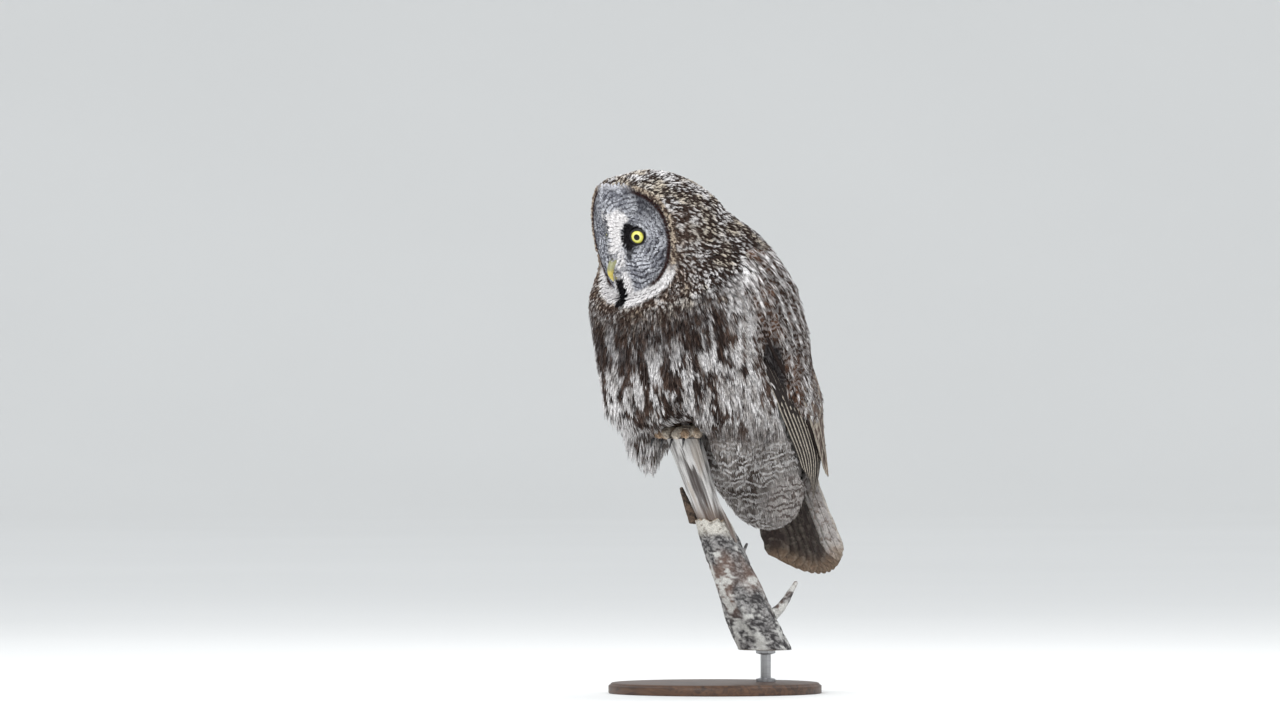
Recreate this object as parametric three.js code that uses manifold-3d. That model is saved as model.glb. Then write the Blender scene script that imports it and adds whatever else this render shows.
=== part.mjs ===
// A great grey owl perched on a short cut length of broken branch, life size.
// Millimetres, +Z up. The owl faces -Y and its left side is +X.
// The origin is the middle of the display base's underside.

import * as THREE from 'three';
import { mergeVertices } from 'three/addons/utils/BufferGeometryUtils.js';
import Module from 'manifold-3d';

const wasm = await Module();
wasm.setup();

// Driving dimensions

const GAP = 0.3;
const OVERSHOOT = 400;
const ROUNDING = 1e-6;

const BODY_SIDES = 26;
const HEAD_SIDES = 28;
const BACK_POWER = 2.1;
const TUBE_END = 0.6;

// Levels of the trunk: height, then the middle of the section along Y, the half width,
// the half depth to the front and the half depth to the back.
const TRUNK_LEVELS = [
  { z: 720, y: -88, wide: 90, front: 55, back: 73, square: 2.3 },
  { z: 699, y: -75, wide: 106, front: 76, back: 96, square: 2.6 },
  { z: 688, y: -69, wide: 112, front: 85, back: 114, square: 2.8 },
  { z: 661, y: -60, wide: 126, front: 101, back: 136, square: 3 },
  { z: 625, y: -51, wide: 138, front: 119, back: 152, square: 2.9 },
  { z: 600, y: -45, wide: 146, front: 140, back: 160, square: 2.75 },
  { z: 575, y: -38, wide: 150, front: 160, back: 163, square: 2.4 },
  { z: 535, y: -28, wide: 152, front: 170, back: 163, square: 2.15 },
  { z: 490, y: -15, wide: 150, front: 177, back: 155, square: 2.1 },
  { z: 445, y: 5, wide: 144, front: 193, back: 152, square: 2.1 },
  { z: 422, y: 17, wide: 138, front: 180, back: 149, square: 2.1 },
  { z: 410, y: 25, wide: 132, front: 151, back: 146, square: 2.1 },
  { z: 405, y: 28, wide: 129, front: 64, back: 144, square: 2.1 },
  { z: 372, y: 48, wide: 112, front: 68, back: 126, square: 2.1 },
  { z: 346, y: 64, wide: 96, front: 70, back: 106, square: 2.1 },
  { z: 310, y: 90, wide: 72, front: 57, back: 78, square: 2.1 },
  { z: 283, y: 102, wide: 57, front: 47, back: 62, square: 2.1 },
  { z: 261, y: 109, wide: 44, front: 38, back: 46, square: 2.1 },
  { z: 248, y: 113, wide: 24, front: 22, back: 26, square: 2.1 },
];

// Levels of the folded wing's outer face, as for the trunk, with the angles of its two
// edges round the body, from 0 at the breast to 180 at the back's middle.
const WING_LEVELS = [
  { z: 668, y: -62, wide: 121, back: 137, lead: 92, trail: 122 },
  { z: 655, y: -59, wide: 130, back: 147, lead: 84, trail: 131 },
  { z: 621, y: -50, wide: 144, back: 161, lead: 78, trail: 143 },
  { z: 589, y: -42, wide: 152, back: 166, lead: 78, trail: 152 },
  { z: 535, y: -28, wide: 155, back: 167, lead: 81, trail: 162 },
  { z: 490, y: -15, wide: 153, back: 160, lead: 88, trail: 168 },
  { z: 445, y: 5, wide: 147, back: 157, lead: 96, trail: 171 },
  { z: 405, y: 27, wide: 134, back: 149, lead: 104, trail: 172 },
  { z: 372, y: 45, wide: 121, back: 143, lead: 112, trail: 171 },
  { z: 346, y: 60, wide: 109, back: 139, lead: 121, trail: 167 },
  { z: 322, y: 72, wide: 99, back: 137, lead: 133, trail: 160 },
  { z: 300, y: 82, wide: 97, back: 141, lead: 139, trail: 155 },
  { z: 282, y: 90, wide: 92, back: 140, lead: 142, trail: 150 },
];

// The bundle of long flight feathers that shows under the wing's front edge.
const PRIMARY_LEVELS = [
  { z: 520, y: -23, wide: 155, back: 165, lead: 80, trail: 100 },
  { z: 490, y: -15, wide: 153, back: 160, lead: 81, trail: 106 },
  { z: 445, y: 5, wide: 147, back: 157, lead: 84, trail: 113 },
  { z: 405, y: 27, wide: 134, back: 149, lead: 89, trail: 122 },
  { z: 346, y: 60, wide: 109, back: 139, lead: 100, trail: 134 },
  { z: 310, y: 76, wide: 93, back: 112, lead: 108, trail: 138 },
  { z: 283, y: 86, wide: 83, back: 93, lead: 117, trail: 138 },
  { z: 264, y: 93, wide: 77, back: 81, lead: 125, trail: 136 },
];

const WING_ROWS = 12;
const WING_COLUMNS = 6;
const WING_THICK = { arm: 15, hand: 6, tip: 3.5, armEnd: 0.2, handStart: 0.34 };
const WING_EDGE_THICK = 2;
const WING_CUT_OUT = 14;
const WING_CUT_TURN = 0.7;
const WING_EDGE_AT = 0.02;
const PRIMARY_THICK = 5;
const PRIMARY_ROWS = 8;
const PRIMARY_COLUMNS = 3;

// Rows of feather tips that stand out of the wing's back edge, by height and by how far.
const FEATHER_STEPS = [
  { top: 580, tip: 517, out: 7 },
  { top: 500, tip: 434, out: 13 },
];

// Head, in its own frame: x to the owl's left, y back from the brow ridge, z up from the
// level of the eyes.
const HEAD_PLACE = { x: -12, y: -215, z: 679 };
const HEAD_TURN = THREE.MathUtils.degToRad(-7);
const HEAD_NOD = THREE.MathUtils.degToRad(11);

const DISC = { wide: 95, up: 78, down: 92, power: 2.2, slant: 48, slantPower: 1.05 };
const EYE = { x: 34, y: 30, z: 0, radius: 14, iris: 10.5, splay: 31, lift: 9 };
const EYE_BOWL = { deep: 13, across: 25 };
const BROW = { back: 9, drop: 12 };

// The head behind the face's rim: how far back, half width, height above and depth below
// the eyes' level.
const SKULL_LEVELS = [
  { y: 64, wide: 104, up: 88, down: 98 },
  { y: 86, wide: 106.5, up: 90, down: 102 },
  { y: 112, wide: 104, up: 84, down: 102 },
  { y: 140, wide: 95, up: 70, down: 96 },
  { y: 165, wide: 80, up: 50, down: 86 },
  { y: 185, wide: 60, up: 28, down: 72 },
  { y: 198, wide: 36, up: 2, down: 54 },
];
const SKULL_POLE = { y: 203, z: -26 };
const SKULL_POWER = 2.1;
const FACE_RINGS = 6;
const RUFF = { out: 6, forward: 3, crest: 0.5, behind: 1.1, swell: 1.025 };

// Each half of the bill as places from root to tip, in the head's frame.
const BILL_UPPER = {
  places: [[0, 14, -29], [0, 2, -38], [0, -5, -50], [0, -1, -63]],
  radius: 7.5, taper: 0.82, hold: 2.2, steps: 7, sides: 8,
};
const BILL_LOWER = {
  places: [[0, 13, -53], [0, 7, -57], [0, 4, -61]],
  radius: 4, taper: 0.5, hold: 1, steps: 3, sides: 6,
};

// Cuts that part the body, each a point on the cut and how far it tips forward.
const NECK_TOP = { y: -100, z: 637, tip: 31 };
const NECK_BASE = { y: -70, z: 600, tip: 26 };
const BELLY_TOP = { y: -20, z: 478, tip: 14 };
const RUMP_TOP = { y: 60, z: 372, tip: 14 };
const BACK_FACE = { y: -10, z: 560, lean: 13 };

// Tail
const TAIL = {
  rootY: 112.6, rootZ: 418, lean: 25.5, twist: 9, length: 270, buried: 0.12, spread: 1.8, vane: 126,
  arch: 12, thick: 5, endThick: 1.6, feathers: 12, step: 1.2, round: 34, scallop: 4,
  corner: 0.13, cornerStart: 0.78, rows: 6, ease: 1.35,
};
const TAIL_SLOT = { rows: 3, columns: 6 };

// A leg's loose feathering: where it hangs, how wide it is at each height.
const LEGS = {
  left: { x: 70, y: -28, levels: [[436, 30], [408, 43], [380, 41], [346, 28], [320, 8]] },
  right: { x: -88, y: -50, levels: [[432, 26], [404, 41], [378, 35], [359, 22], [346, 9]] },
};
const LEG_ENDS = { top: 10, tip: 5 };
const LEG_SIDES = 10;


// The feet, and each toe's way from the sole: its turn from straight ahead, reach and drop.
const FOOT = {
  z: 391.5, y: -66, apart: 15, toe: 9, toeEnd: 7.2, toeSteps: 3, toeSides: 7, knuckle: 3,
  shank: 10, shankTop: 398, shankOut: 4, shankBack: 6, shankSides: 8,
};
const TOES = [
  { turn: -8, reach: 31, drop: 6 },
  { turn: 27, reach: 31, drop: 5 },
  { turn: 76, reach: 20, drop: 5 },
  { turn: 176, reach: 17, drop: 0 },
];
const CLAW = { length: 6, root: 3, tip: 0.7, hook: 10, sides: 5 };

// Perch
const PERCH_TOP = { x: 0, y: -66, z: 382 };
const PERCH_FOOT = { x: 34, y: 74, z: 64 };
const PERCH_BEND = { x: 3, y: 5 };
const PERCH_SIDES = 14;
const PERCH_WOOD_RINGS = 6;
const PERCH_BARK_RINGS = 8;
const PERCH_SPLIT = 0.385;
const PERCH_WIDTHS = { top: 27.5, split: 22, bark: 26, foot: 41, woodEase: 0.7, barkEase: 0.8 };
const PERCH_KNOBS = [
  { high: 0.05, waves: 3, twist: 9, start: 0 },
  { high: 0.035, waves: 5, twist: -23, start: 1.3 },
];

// Splinters, flaps and stubs that stand off the perch: places and radii from root to tip.
const SPLINTER = {
  places: [[38, 3, 226], [38, -13, 258], [33, -29, 288], [28, -40, 316]],
  root: 5.5, tip: 2, steps: 7, sides: 6,
};
const BARK_FLAP = {
  places: [[-13, -31, 258], [-17, -41, 282], [-21, -51, 308]],
  root: 9, tip: 3, steps: 4, sides: 6,
};
const FORK_STUB = {
  places: [[50, 68, 114], [60, 80, 128], [68, 89, 147], [75, 98, 166]],
  root: 10, tip: 3.2, steps: 6, sides: 8,
};
const TWIG_STUB = {
  places: [[27, 15, 200], [34, 24, 211], [38, 30, 224]],
  root: 4.5, tip: 2.3, steps: 4, sides: 6,
};

// Stand
const STAND_BASE = { radius: 160, high: 16, bevel: 4, foot: 1.5, sides: 36 };
const STAND_ROD = { radius: 8, top: 59, collarRadius: 15, collarHigh: 6, flare: 2, sides: 12 };

// Colours, roughness and metalness of each kind of surface
const FINISH = {
  plumage: { color: 0x8d8883, roughness: 0.95, metalness: 0 },
  face: { color: 0xa9a8a8, roughness: 0.95, metalness: 0 },
  breast: { color: 0x9a938c, roughness: 0.95, metalness: 0 },
  flight: { color: 0x5d5049, roughness: 0.85, metalness: 0 },
  tail: { color: 0x55463f, roughness: 0.85, metalness: 0 },
  eye: { color: 0xd8cf4e, roughness: 0.1, metalness: 0 },
  bill: { color: 0xc8b84c, roughness: 0.4, metalness: 0 },
  toe: { color: 0xb3a48c, roughness: 0.9, metalness: 0 },
  claw: { color: 0x1c1a1a, roughness: 0.35, metalness: 0 },
  wood: { color: 0xb4aea8, roughness: 0.9, metalness: 0 },
  bark: { color: 0x7f7772, roughness: 0.95, metalness: 0 },
  base: { color: 0x4a3020, roughness: 0.45, metalness: 0 },
  rod: { color: 0x6f6f72, roughness: 0.4, metalness: 0.9 },
};

// Helpers for closed solids

function radians(degrees) {
  return THREE.MathUtils.degToRad(degrees);
}

// Cubic Hermite blend of four neighbouring values, flattened where they turn back.
function hermite(before, start, end, after, t) {
  const rise = end - start;
  const slopeIn = (start - before) * rise > 0 ? (end - before) / 2 : 0;
  const slopeOut = (after - end) * rise > 0 ? (after - start) / 2 : 0;
  const t2 = t * t;
  const t3 = t2 * t;
  return start * (2 * t3 - 3 * t2 + 1) + slopeIn * (t3 - 2 * t2 + t)
    + end * (3 * t2 - 2 * t3) + slopeOut * (t3 - t2);
}

// Returns a function that gives every value of a table of levels at any height between.
function between(levels, key) {
  const rows = [...levels].sort((a, b) => a[key] - b[key]);
  const names = Object.keys(rows[0]).filter((name) => name !== key);
  return (at) => {
    const inside = THREE.MathUtils.clamp(at, rows[0][key], rows[rows.length - 1][key]);
    let i = 0;
    while (i < rows.length - 2 && rows[i + 1][key] < inside) {
      i += 1;
    }
    const t = (inside - rows[i][key]) / (rows[i + 1][key] - rows[i][key]);
    const before = rows[Math.max(i - 1, 0)];
    const after = rows[Math.min(i + 2, rows.length - 1)];
    const out = {};
    for (const name of names) {
      out[name] = hermite(before[name], rows[i][name], rows[i + 1][name], after[name], t);
    }
    return out;
  };
}

function geometryFrom(points, faces) {
  const geometry = new THREE.BufferGeometry();
  const positions = new Float32Array(points.length * 3);
  points.forEach((point, i) => point.toArray(positions, i * 3));
  geometry.setAttribute('position', new THREE.BufferAttribute(positions, 3));
  geometry.setIndex(faces.flat());
  return geometry;
}

// Turns every face round when the closed mesh is inside out.
function faceOutward(points, faces) {
  let volume = 0;
  for (const [a, b, c] of faces) {
    volume += points[a].dot(new THREE.Vector3().crossVectors(points[b], points[c]));
  }
  return volume < 0 ? faces.map(([a, b, c]) => [a, c, b]) : faces;
}

function closedGeometry(points, faces) {
  return geometryFrom(points, faceOutward(points, faces));
}

// A closed solid through rings of equal length, with a pole at each end.
function loft(rings, firstPole, lastPole) {
  const sides = rings[0].length;
  const points = rings.flat();
  const faces = [];
  for (let i = 0; i < rings.length - 1; i += 1) {
    for (let j = 0; j < sides; j += 1) {
      const a = i * sides + j;
      const b = i * sides + (j + 1) % sides;
      faces.push([a, b, b + sides], [a, b + sides, a + sides]);
    }
  }
  const first = points.push(firstPole) - 1;
  const last = points.push(lastPole) - 1;
  const lastRing = (rings.length - 1) * sides;
  for (let j = 0; j < sides; j += 1) {
    const next = (j + 1) % sides;
    faces.push([first, next, j]);
    faces.push([last, lastRing + j, lastRing + next]);
  }
  return closedGeometry(points, faces);
}

// The middle of a ring of points.
function middle(ring) {
  const sum = new THREE.Vector3();
  ring.forEach((point) => sum.add(point));
  return sum.divideScalar(ring.length);
}

function vectors(places) {
  return places.map(([x, y, z]) => new THREE.Vector3(x, y, z));
}

// The angles of equally spaced points round a circle.
function anglesRound(sides) {
  return [...Array(sides).keys()].map((j) => (j / sides) * Math.PI * 2);
}

// The reach of an oval that grows squarer as the power rises.
function ovalRadius(across, along, power) {
  return (Math.abs(across) ** power + Math.abs(along) ** power) ** (-1 / power);
}

function loftFlatEnds(rings) {
  return loft(rings, middle(rings[0]), middle(rings[rings.length - 1]));
}

// A closed slab between two faces, each given as a function of two values from 0 to 1.
function slab(rows, columns, outer, inner) {
  const points = [];
  const faces = [];
  const index = (side, i, j) => side * (rows + 1) * (columns + 1) + i * (columns + 1) + j;
  for (const face of [outer, inner]) {
    for (let i = 0; i <= rows; i += 1) {
      for (let j = 0; j <= columns; j += 1) {
        points.push(face(i / rows, j / columns));
      }
    }
  }
  for (let i = 0; i < rows; i += 1) {
    for (let j = 0; j < columns; j += 1) {
      const [a, b, c, d] = [index(0, i, j), index(0, i, j + 1), index(0, i + 1, j + 1), index(0, i + 1, j)];
      faces.push([a, b, c], [a, c, d]);
      const [e, f, g, h] = [index(1, i, j), index(1, i, j + 1), index(1, i + 1, j + 1), index(1, i + 1, j)];
      faces.push([e, g, f], [e, h, g]);
    }
  }
  const across = [...Array(columns).keys()];
  const along = [...Array(rows).keys()];
  const border = [
    ...across.map((j) => [0, j]),
    ...along.map((i) => [i, columns]),
    ...across.map((j) => [rows, columns - j]),
    ...along.map((i) => [rows - i, 0]),
  ];
  border.forEach(([i, j], n) => {
    const [k, l] = border[(n + 1) % border.length];
    faces.push([index(0, k, l), index(0, i, j), index(1, i, j)]);
    faces.push([index(0, k, l), index(1, i, j), index(1, k, l)]);
  });
  return closedGeometry(points, faces);
}

// A round-ended tapering tube along a smooth curve. Its radius is a function of the length.
function taperedTube(places, radiusAt, steps, sides) {
  const curve = new THREE.CatmullRomCurve3(places);
  const frames = curve.computeFrenetFrames(steps, false);
  const rings = [];
  for (let i = 0; i <= steps; i += 1) {
    const t = i / steps;
    const centre = curve.getPoint(t);
    rings.push(anglesRound(sides).map((angle) => centre.clone()
      .addScaledVector(frames.normals[i], Math.cos(angle) * radiusAt(t))
      .addScaledVector(frames.binormals[i], Math.sin(angle) * radiusAt(t))));
  }
  const first = curve.getPoint(0).addScaledVector(frames.tangents[0], -radiusAt(0) * TUBE_END);
  const last = curve.getPoint(1).addScaledVector(frames.tangents[steps], radiusAt(1) * TUBE_END);
  return loft(rings, first, last);
}

function toSolid(geometry) {
  const bare = geometry.clone();
  bare.deleteAttribute('normal');
  bare.deleteAttribute('uv');
  const merged = mergeVertices(bare, 1e-4);
  return new wasm.Manifold(new wasm.Mesh({
    numProp: 3,
    vertProperties: new Float32Array(merged.attributes.position.array),
    triVerts: new Uint32Array(merged.index.array),
  }));
}

function toGeometry(solid) {
  const mesh = solid.getMesh();
  const geometry = new THREE.BufferGeometry();
  geometry.setAttribute('position', new THREE.BufferAttribute(new Float32Array(mesh.vertProperties), 3));
  geometry.setIndex([...mesh.triVerts]);
  return geometry;
}

function box(width, depth, height, matrix) {
  return toSolid(new THREE.BoxGeometry(width, depth, height).applyMatrix4(matrix));
}

// The half of space above a plane across the body, as a large block.
function above(cut, lift = 0) {
  const side = OVERSHOOT * 2;
  const matrix = new THREE.Matrix4().makeTranslation(0, cut.y, cut.z + lift)
    .multiply(new THREE.Matrix4().makeRotationX(radians(cut.tip)))
    .multiply(new THREE.Matrix4().makeTranslation(0, 0, side / 2));
  return box(side, side, side, matrix);
}

// The space behind an upright plane that leans with the back.
function behind(shift) {
  const side = OVERSHOOT * 2;
  const matrix = new THREE.Matrix4().makeTranslation(0, BACK_FACE.y + shift, BACK_FACE.z)
    .multiply(new THREE.Matrix4().makeRotationX(radians(BACK_FACE.lean)))
    .multiply(new THREE.Matrix4().makeTranslation(0, side / 2, 0));
  return box(side, side, side, matrix);
}

const group = new THREE.Group();

function add(name, solid, kind) {
  const mesh = new THREE.Mesh(toGeometry(solid), new THREE.MeshStandardMaterial(FINISH[kind]));
  mesh.name = name;
  group.add(mesh);
}

// Head

const headFrame = new THREE.Matrix4()
  .makeTranslation(HEAD_PLACE.x, HEAD_PLACE.y, HEAD_PLACE.z)
  .multiply(new THREE.Matrix4().makeRotationZ(HEAD_TURN))
  .multiply(new THREE.Matrix4().makeRotationX(HEAD_NOD));

function discRadius(angle) {
  const high = Math.sin(angle) > 0 ? DISC.up : DISC.down;
  return ovalRadius(Math.cos(angle) / DISC.wide, Math.sin(angle) / high, DISC.power);
}

// How far the face lies behind the brow ridge.
function faceDepth(x, z) {
  const slant = DISC.slant * (Math.abs(x) / DISC.wide) ** DISC.slantPower;
  const fromEye = Math.hypot(Math.abs(x) - EYE.x, z - EYE.z);
  const bowl = EYE_BOWL.deep * Math.exp(-((fromEye / EYE_BOWL.across) ** 2));
  const brow = z > 0 ? BROW.back * (z / DISC.up) ** 2 : BROW.drop * (z / DISC.down) ** 2;
  return slant + bowl + brow;
}

function facePoint(angle, share) {
  const radius = discRadius(angle) * share;
  const x = radius * Math.cos(angle);
  const z = radius * Math.sin(angle);
  return new THREE.Vector3(x, faceDepth(x, z), z);
}

function skullPoint(angle, level) {
  const high = Math.sin(angle) > 0 ? level.up : level.down;
  const radius = ovalRadius(Math.cos(angle) / level.wide, Math.sin(angle) / high, SKULL_POWER);
  return new THREE.Vector3(radius * Math.cos(angle), level.y, radius * Math.sin(angle));
}

function ruffPoint(angle, share) {
  const rim = facePoint(angle, 1);
  const away = 1 + (share * RUFF.out) / Math.hypot(rim.x, rim.z);
  return new THREE.Vector3(rim.x * away, rim.y - RUFF.forward * Math.sin(share * Math.PI), rim.z * away);
}

// The first ring behind the ruff swells from the rim towards the skull.
function browPoint(angle) {
  const rim = ruffPoint(angle, RUFF.behind);
  const swell = rim.lerp(skullPoint(angle, SKULL_LEVELS[0]), 0.5);
  return new THREE.Vector3(swell.x * RUFF.swell, swell.y, swell.z * RUFF.swell);
}

function headRings() {
  const rings = [];
  const angles = anglesRound(HEAD_SIDES);
  for (let i = 1; i <= FACE_RINGS; i += 1) {
    rings.push(angles.map((angle) => facePoint(angle, i / FACE_RINGS)));
  }
  rings.push(angles.map((angle) => ruffPoint(angle, RUFF.crest)));
  rings.push(angles.map((angle) => ruffPoint(angle, RUFF.behind)));
  rings.push(angles.map(browPoint));
  for (const level of SKULL_LEVELS) {
    rings.push(angles.map((angle) => skullPoint(angle, level)));
  }
  return rings;
}

function eyeAxis(side) {
  const splay = radians(EYE.splay);
  const lift = radians(EYE.lift);
  const level = Math.cos(lift);
  return new THREE.Vector3(side * Math.sin(splay) * level, -Math.cos(splay) * level, Math.sin(lift));
}

// The middle of the eyeball lies behind its iris.
function eyeCentre(side) {
  const depth = Math.sqrt(EYE.radius ** 2 - EYE.iris ** 2);
  return new THREE.Vector3(side * EYE.x, EYE.y, EYE.z).addScaledVector(eyeAxis(side), -depth);
}

function eyeball(side, radius) {
  const sphere = new THREE.SphereGeometry(radius, 12, 8);
  const turn = new THREE.Quaternion().setFromUnitVectors(new THREE.Vector3(0, 1, 0), eyeAxis(side));
  sphere.applyQuaternion(turn);
  const centre = eyeCentre(side);
  sphere.translate(centre.x, centre.y, centre.z);
  return toSolid(sphere.applyMatrix4(headFrame));
}

function billSolid(half, grow = 0) {
  const radiusAt = (t) => half.radius * (1 - half.taper * t ** half.hold) + grow;
  const tube = taperedTube(vectors(half.places), radiusAt, half.steps, half.sides);
  return toSolid(tube.applyMatrix4(headFrame));
}

function wholeHead() {
  const rings = headRings();
  const front = new THREE.Vector3(0, faceDepth(0, 0), 0);
  const pole = new THREE.Vector3(0, SKULL_POLE.y, SKULL_POLE.z);
  return toSolid(loft(rings, front, pole).applyMatrix4(headFrame));
}

// Trunk, wings and legs

const wingAt = between(WING_LEVELS, 'z');
const primaryAt = between(PRIMARY_LEVELS, 'z');

// A point of a level section: a rounded outline that is squarer where the level says so.
function bodyPoint(level, angle) {
  const ahead = Math.cos(angle) > 0;
  const depth = ahead ? level.front : level.back;
  const radius = ovalRadius(Math.sin(angle), Math.cos(angle), ahead ? level.square : BACK_POWER);
  return new THREE.Vector3(
    level.wide * radius * Math.sin(angle),
    level.y - depth * radius * Math.cos(angle),
    level.z,
  );
}

function wholeTrunk() {
  const rings = TRUNK_LEVELS.map((level) => anglesRound(BODY_SIDES).map((angle) => bodyPoint(level, angle)));
  const top = middle(rings[0]).add(new THREE.Vector3(0, 0, 5));
  const end = middle(rings[rings.length - 1]).add(new THREE.Vector3(0, 2, -7));
  return toSolid(loft(rings, top, end));
}

// How far the feather tips above a height have come away from the wing's smooth face.
function stepOut(z) {
  let out = 0;
  for (const step of FEATHER_STEPS) {
    if (z <= step.top && z >= step.tip) {
      out += step.out * ((step.top - z) / (step.top - step.tip)) ** 2;
    }
  }
  return out;
}

// Thick over the folded arm, thin over the flight feathers.
function wingThickness(u) {
  const { arm, hand, tip, armEnd, handStart } = WING_THICK;
  if (u < handStart) {
    return THREE.MathUtils.lerp(arm, hand, THREE.MathUtils.smoothstep(u, armEnd, handStart));
  }
  return THREE.MathUtils.lerp(hand, tip, (u - handStart) / (1 - handStart));
}

// A strip of folded wing. Depth 0 is its outer face and 1 its inner face.
function wingStrip(side, shape, grow = 0) {
  const { levelAt, top, tip, rows, columns, thickAt, sink, step } = shape;
  const proud = grow ? WING_CUT_OUT : 0;
  const place = (u, v, depth) => {
    const z = THREE.MathUtils.lerp(top + grow, tip - grow, u);
    const level = levelAt(z);
    const widen = (v * 2 - 1) * grow * WING_CUT_TURN;
    const angle = radians(THREE.MathUtils.lerp(level.lead, level.trail, v) + widen);
    const edge = Math.sqrt(Math.sin(Math.PI * THREE.MathUtils.clamp(v, WING_EDGE_AT, 1 - WING_EDGE_AT)));
    const thick = WING_EDGE_THICK + (thickAt(u) - WING_EDGE_THICK) * edge;
    const outward = step ? stepOut(z) * v : 0;
    const inward = sink + (depth ? thick + grow : -proud - outward);
    return new THREE.Vector3(
      side * (level.wide - inward) * Math.sin(angle),
      level.y - (level.back - inward) * Math.cos(angle),
      z,
    );
  };
  return toSolid(slab(rows, columns, (u, v) => place(u, v, 0), (u, v) => place(u, v, 1)));
}

// Legs, feet and claws

function legSolid(leg, grow = 0) {
  const rings = leg.levels.map(([z, radius]) => anglesRound(LEG_SIDES).map((angle) => new THREE.Vector3(
    leg.x + (radius + grow) * Math.cos(angle),
    leg.y + (radius + grow) * Math.sin(angle),
    z,
  )));
  const first = middle(rings[0]).add(new THREE.Vector3(0, 0, LEG_ENDS.top));
  const last = middle(rings[rings.length - 1]).add(new THREE.Vector3(0, 0, -LEG_ENDS.tip));
  return toSolid(loft(rings, first, last));
}

function solePlace(side) {
  return new THREE.Vector3(side * FOOT.apart, FOOT.y, FOOT.z);
}

function toePlaces(side, toe) {
  const turn = radians(toe.turn) * side;
  const ahead = new THREE.Vector3(Math.sin(turn), -Math.cos(turn), 0);
  const at = (share, lift) => solePlace(side)
    .addScaledVector(ahead, toe.reach * share)
    .add(new THREE.Vector3(0, 0, lift));
  return [at(0, 0), at(0.45, FOOT.knuckle), at(0.8, 0), at(1, -toe.drop)];
}

function footSolid(side, grow = 0) {
  const sole = solePlace(side);
  const knee = new THREE.Vector3(side * FOOT.shankOut, FOOT.shankBack, FOOT.shankTop - FOOT.z).add(sole);
  const shank = [sole, sole.clone().lerp(knee, 0.5), knee];
  const toeRadius = (t) => THREE.MathUtils.lerp(FOOT.toe, FOOT.toeEnd, t) + grow;
  let solid = toSolid(taperedTube(shank, () => FOOT.shank + grow, 2, FOOT.shankSides));
  for (const toe of TOES) {
    const tube = taperedTube(toePlaces(side, toe), toeRadius, FOOT.toeSteps, FOOT.toeSides);
    solid = solid.add(toSolid(tube));
  }
  return solid;
}

// A claw starts just clear of its toe's rounded end and hooks down.
function clawSolid(side, toe, grow = 0) {
  const places = toePlaces(side, toe);
  const end = places[3];
  const along = end.clone().sub(places[2]).normalize();
  const down = new THREE.Vector3(0, 0, -1);
  const root = end.clone().addScaledVector(along, (FOOT.toeEnd + CLAW.root) * TUBE_END + GAP);
  const mid = root.clone().addScaledVector(along, CLAW.length * 0.8).addScaledVector(down, CLAW.hook / 4);
  const tip = root.clone().addScaledVector(along, CLAW.length).addScaledVector(down, CLAW.hook);
  const radiusAt = (t) => THREE.MathUtils.lerp(CLAW.root, CLAW.tip, t) + grow;
  return toSolid(taperedTube([root, mid, tip], radiusAt, 3, CLAW.sides));
}

// Tail

const tailFrame = new THREE.Matrix4()
  .makeTranslation(0, TAIL.rootY, TAIL.rootZ)
  .multiply(new THREE.Matrix4().makeRotationX(radians(TAIL.lean)))
  .multiply(new THREE.Matrix4().makeRotationZ(radians(TAIL.twist)));

// A point of the sheet of overlapping tail feathers, v across it and u down it.
function tailPoint(u, v, under, grow) {
  const across = v * 2 - 1;
  const vanes = (Math.abs(across) * TAIL.feathers) / 2;
  const vaneShare = Math.max(vanes - Math.floor(vanes + ROUNDING), 0);
  const length = TAIL.length - TAIL.round * across ** 2 + Math.sin(Math.PI * vaneShare) * TAIL.scallop;
  const run = 1 - (1 - u) ** TAIL.ease;
  const along = length * THREE.MathUtils.lerp(TAIL.buried, 1, run);
  const cornerShare = Math.max(u - TAIL.cornerStart, 0) / (1 - TAIL.cornerStart);
  const vane = TAIL.vane / 2 + along * Math.sin(radians(TAIL.spread));
  const halfWidth = vane * (1 - TAIL.corner * cornerShare ** 2) + grow;
  const thick = THREE.MathUtils.lerp(TAIL.thick, TAIL.endThick, run) / 2 + grow;
  const y = (vaneShare - 0.5) * TAIL.step - TAIL.arch * across ** 2 + (under ? -thick : thick);
  return new THREE.Vector3(across * halfWidth, y, -along - (u * 2 - 1) * grow).applyMatrix4(tailFrame);
}

function tailSheet(rows, columns, grow) {
  const face = (under) => (u, v) => tailPoint(u, v, under, grow);
  return toSolid(slab(rows, columns, face(false), face(true)));
}

function tailSolid() {
  return tailSheet(TAIL.rows, TAIL.feathers * 2, 0);
}

// The coarser form that the tail's root fits.
function tailSlot() {
  return tailSheet(TAIL_SLOT.rows, TAIL_SLOT.columns, TAIL.step);
}

// Perch

function perchCentre(share) {
  const bend = Math.sin(share * Math.PI);
  return new THREE.Vector3(
    THREE.MathUtils.lerp(PERCH_TOP.x, PERCH_FOOT.x, share) - bend * PERCH_BEND.x,
    THREE.MathUtils.lerp(PERCH_TOP.y, PERCH_FOOT.y, share) - bend * PERCH_BEND.y,
    THREE.MathUtils.lerp(PERCH_TOP.z, PERCH_FOOT.z, share),
  );
}

function knobbly(share, angle) {
  return PERCH_KNOBS.reduce(
    (sum, knob) => sum + knob.high * Math.sin(angle * knob.waves + share * knob.twist + knob.start),
    1,
  );
}

function perchRing(share, radius) {
  const centre = perchCentre(share);
  return anglesRound(PERCH_SIDES).map((angle) => {
    const r = radius * knobbly(share, angle);
    return centre.clone().add(new THREE.Vector3(r * Math.cos(angle), r * Math.sin(angle), 0));
  });
}

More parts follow.
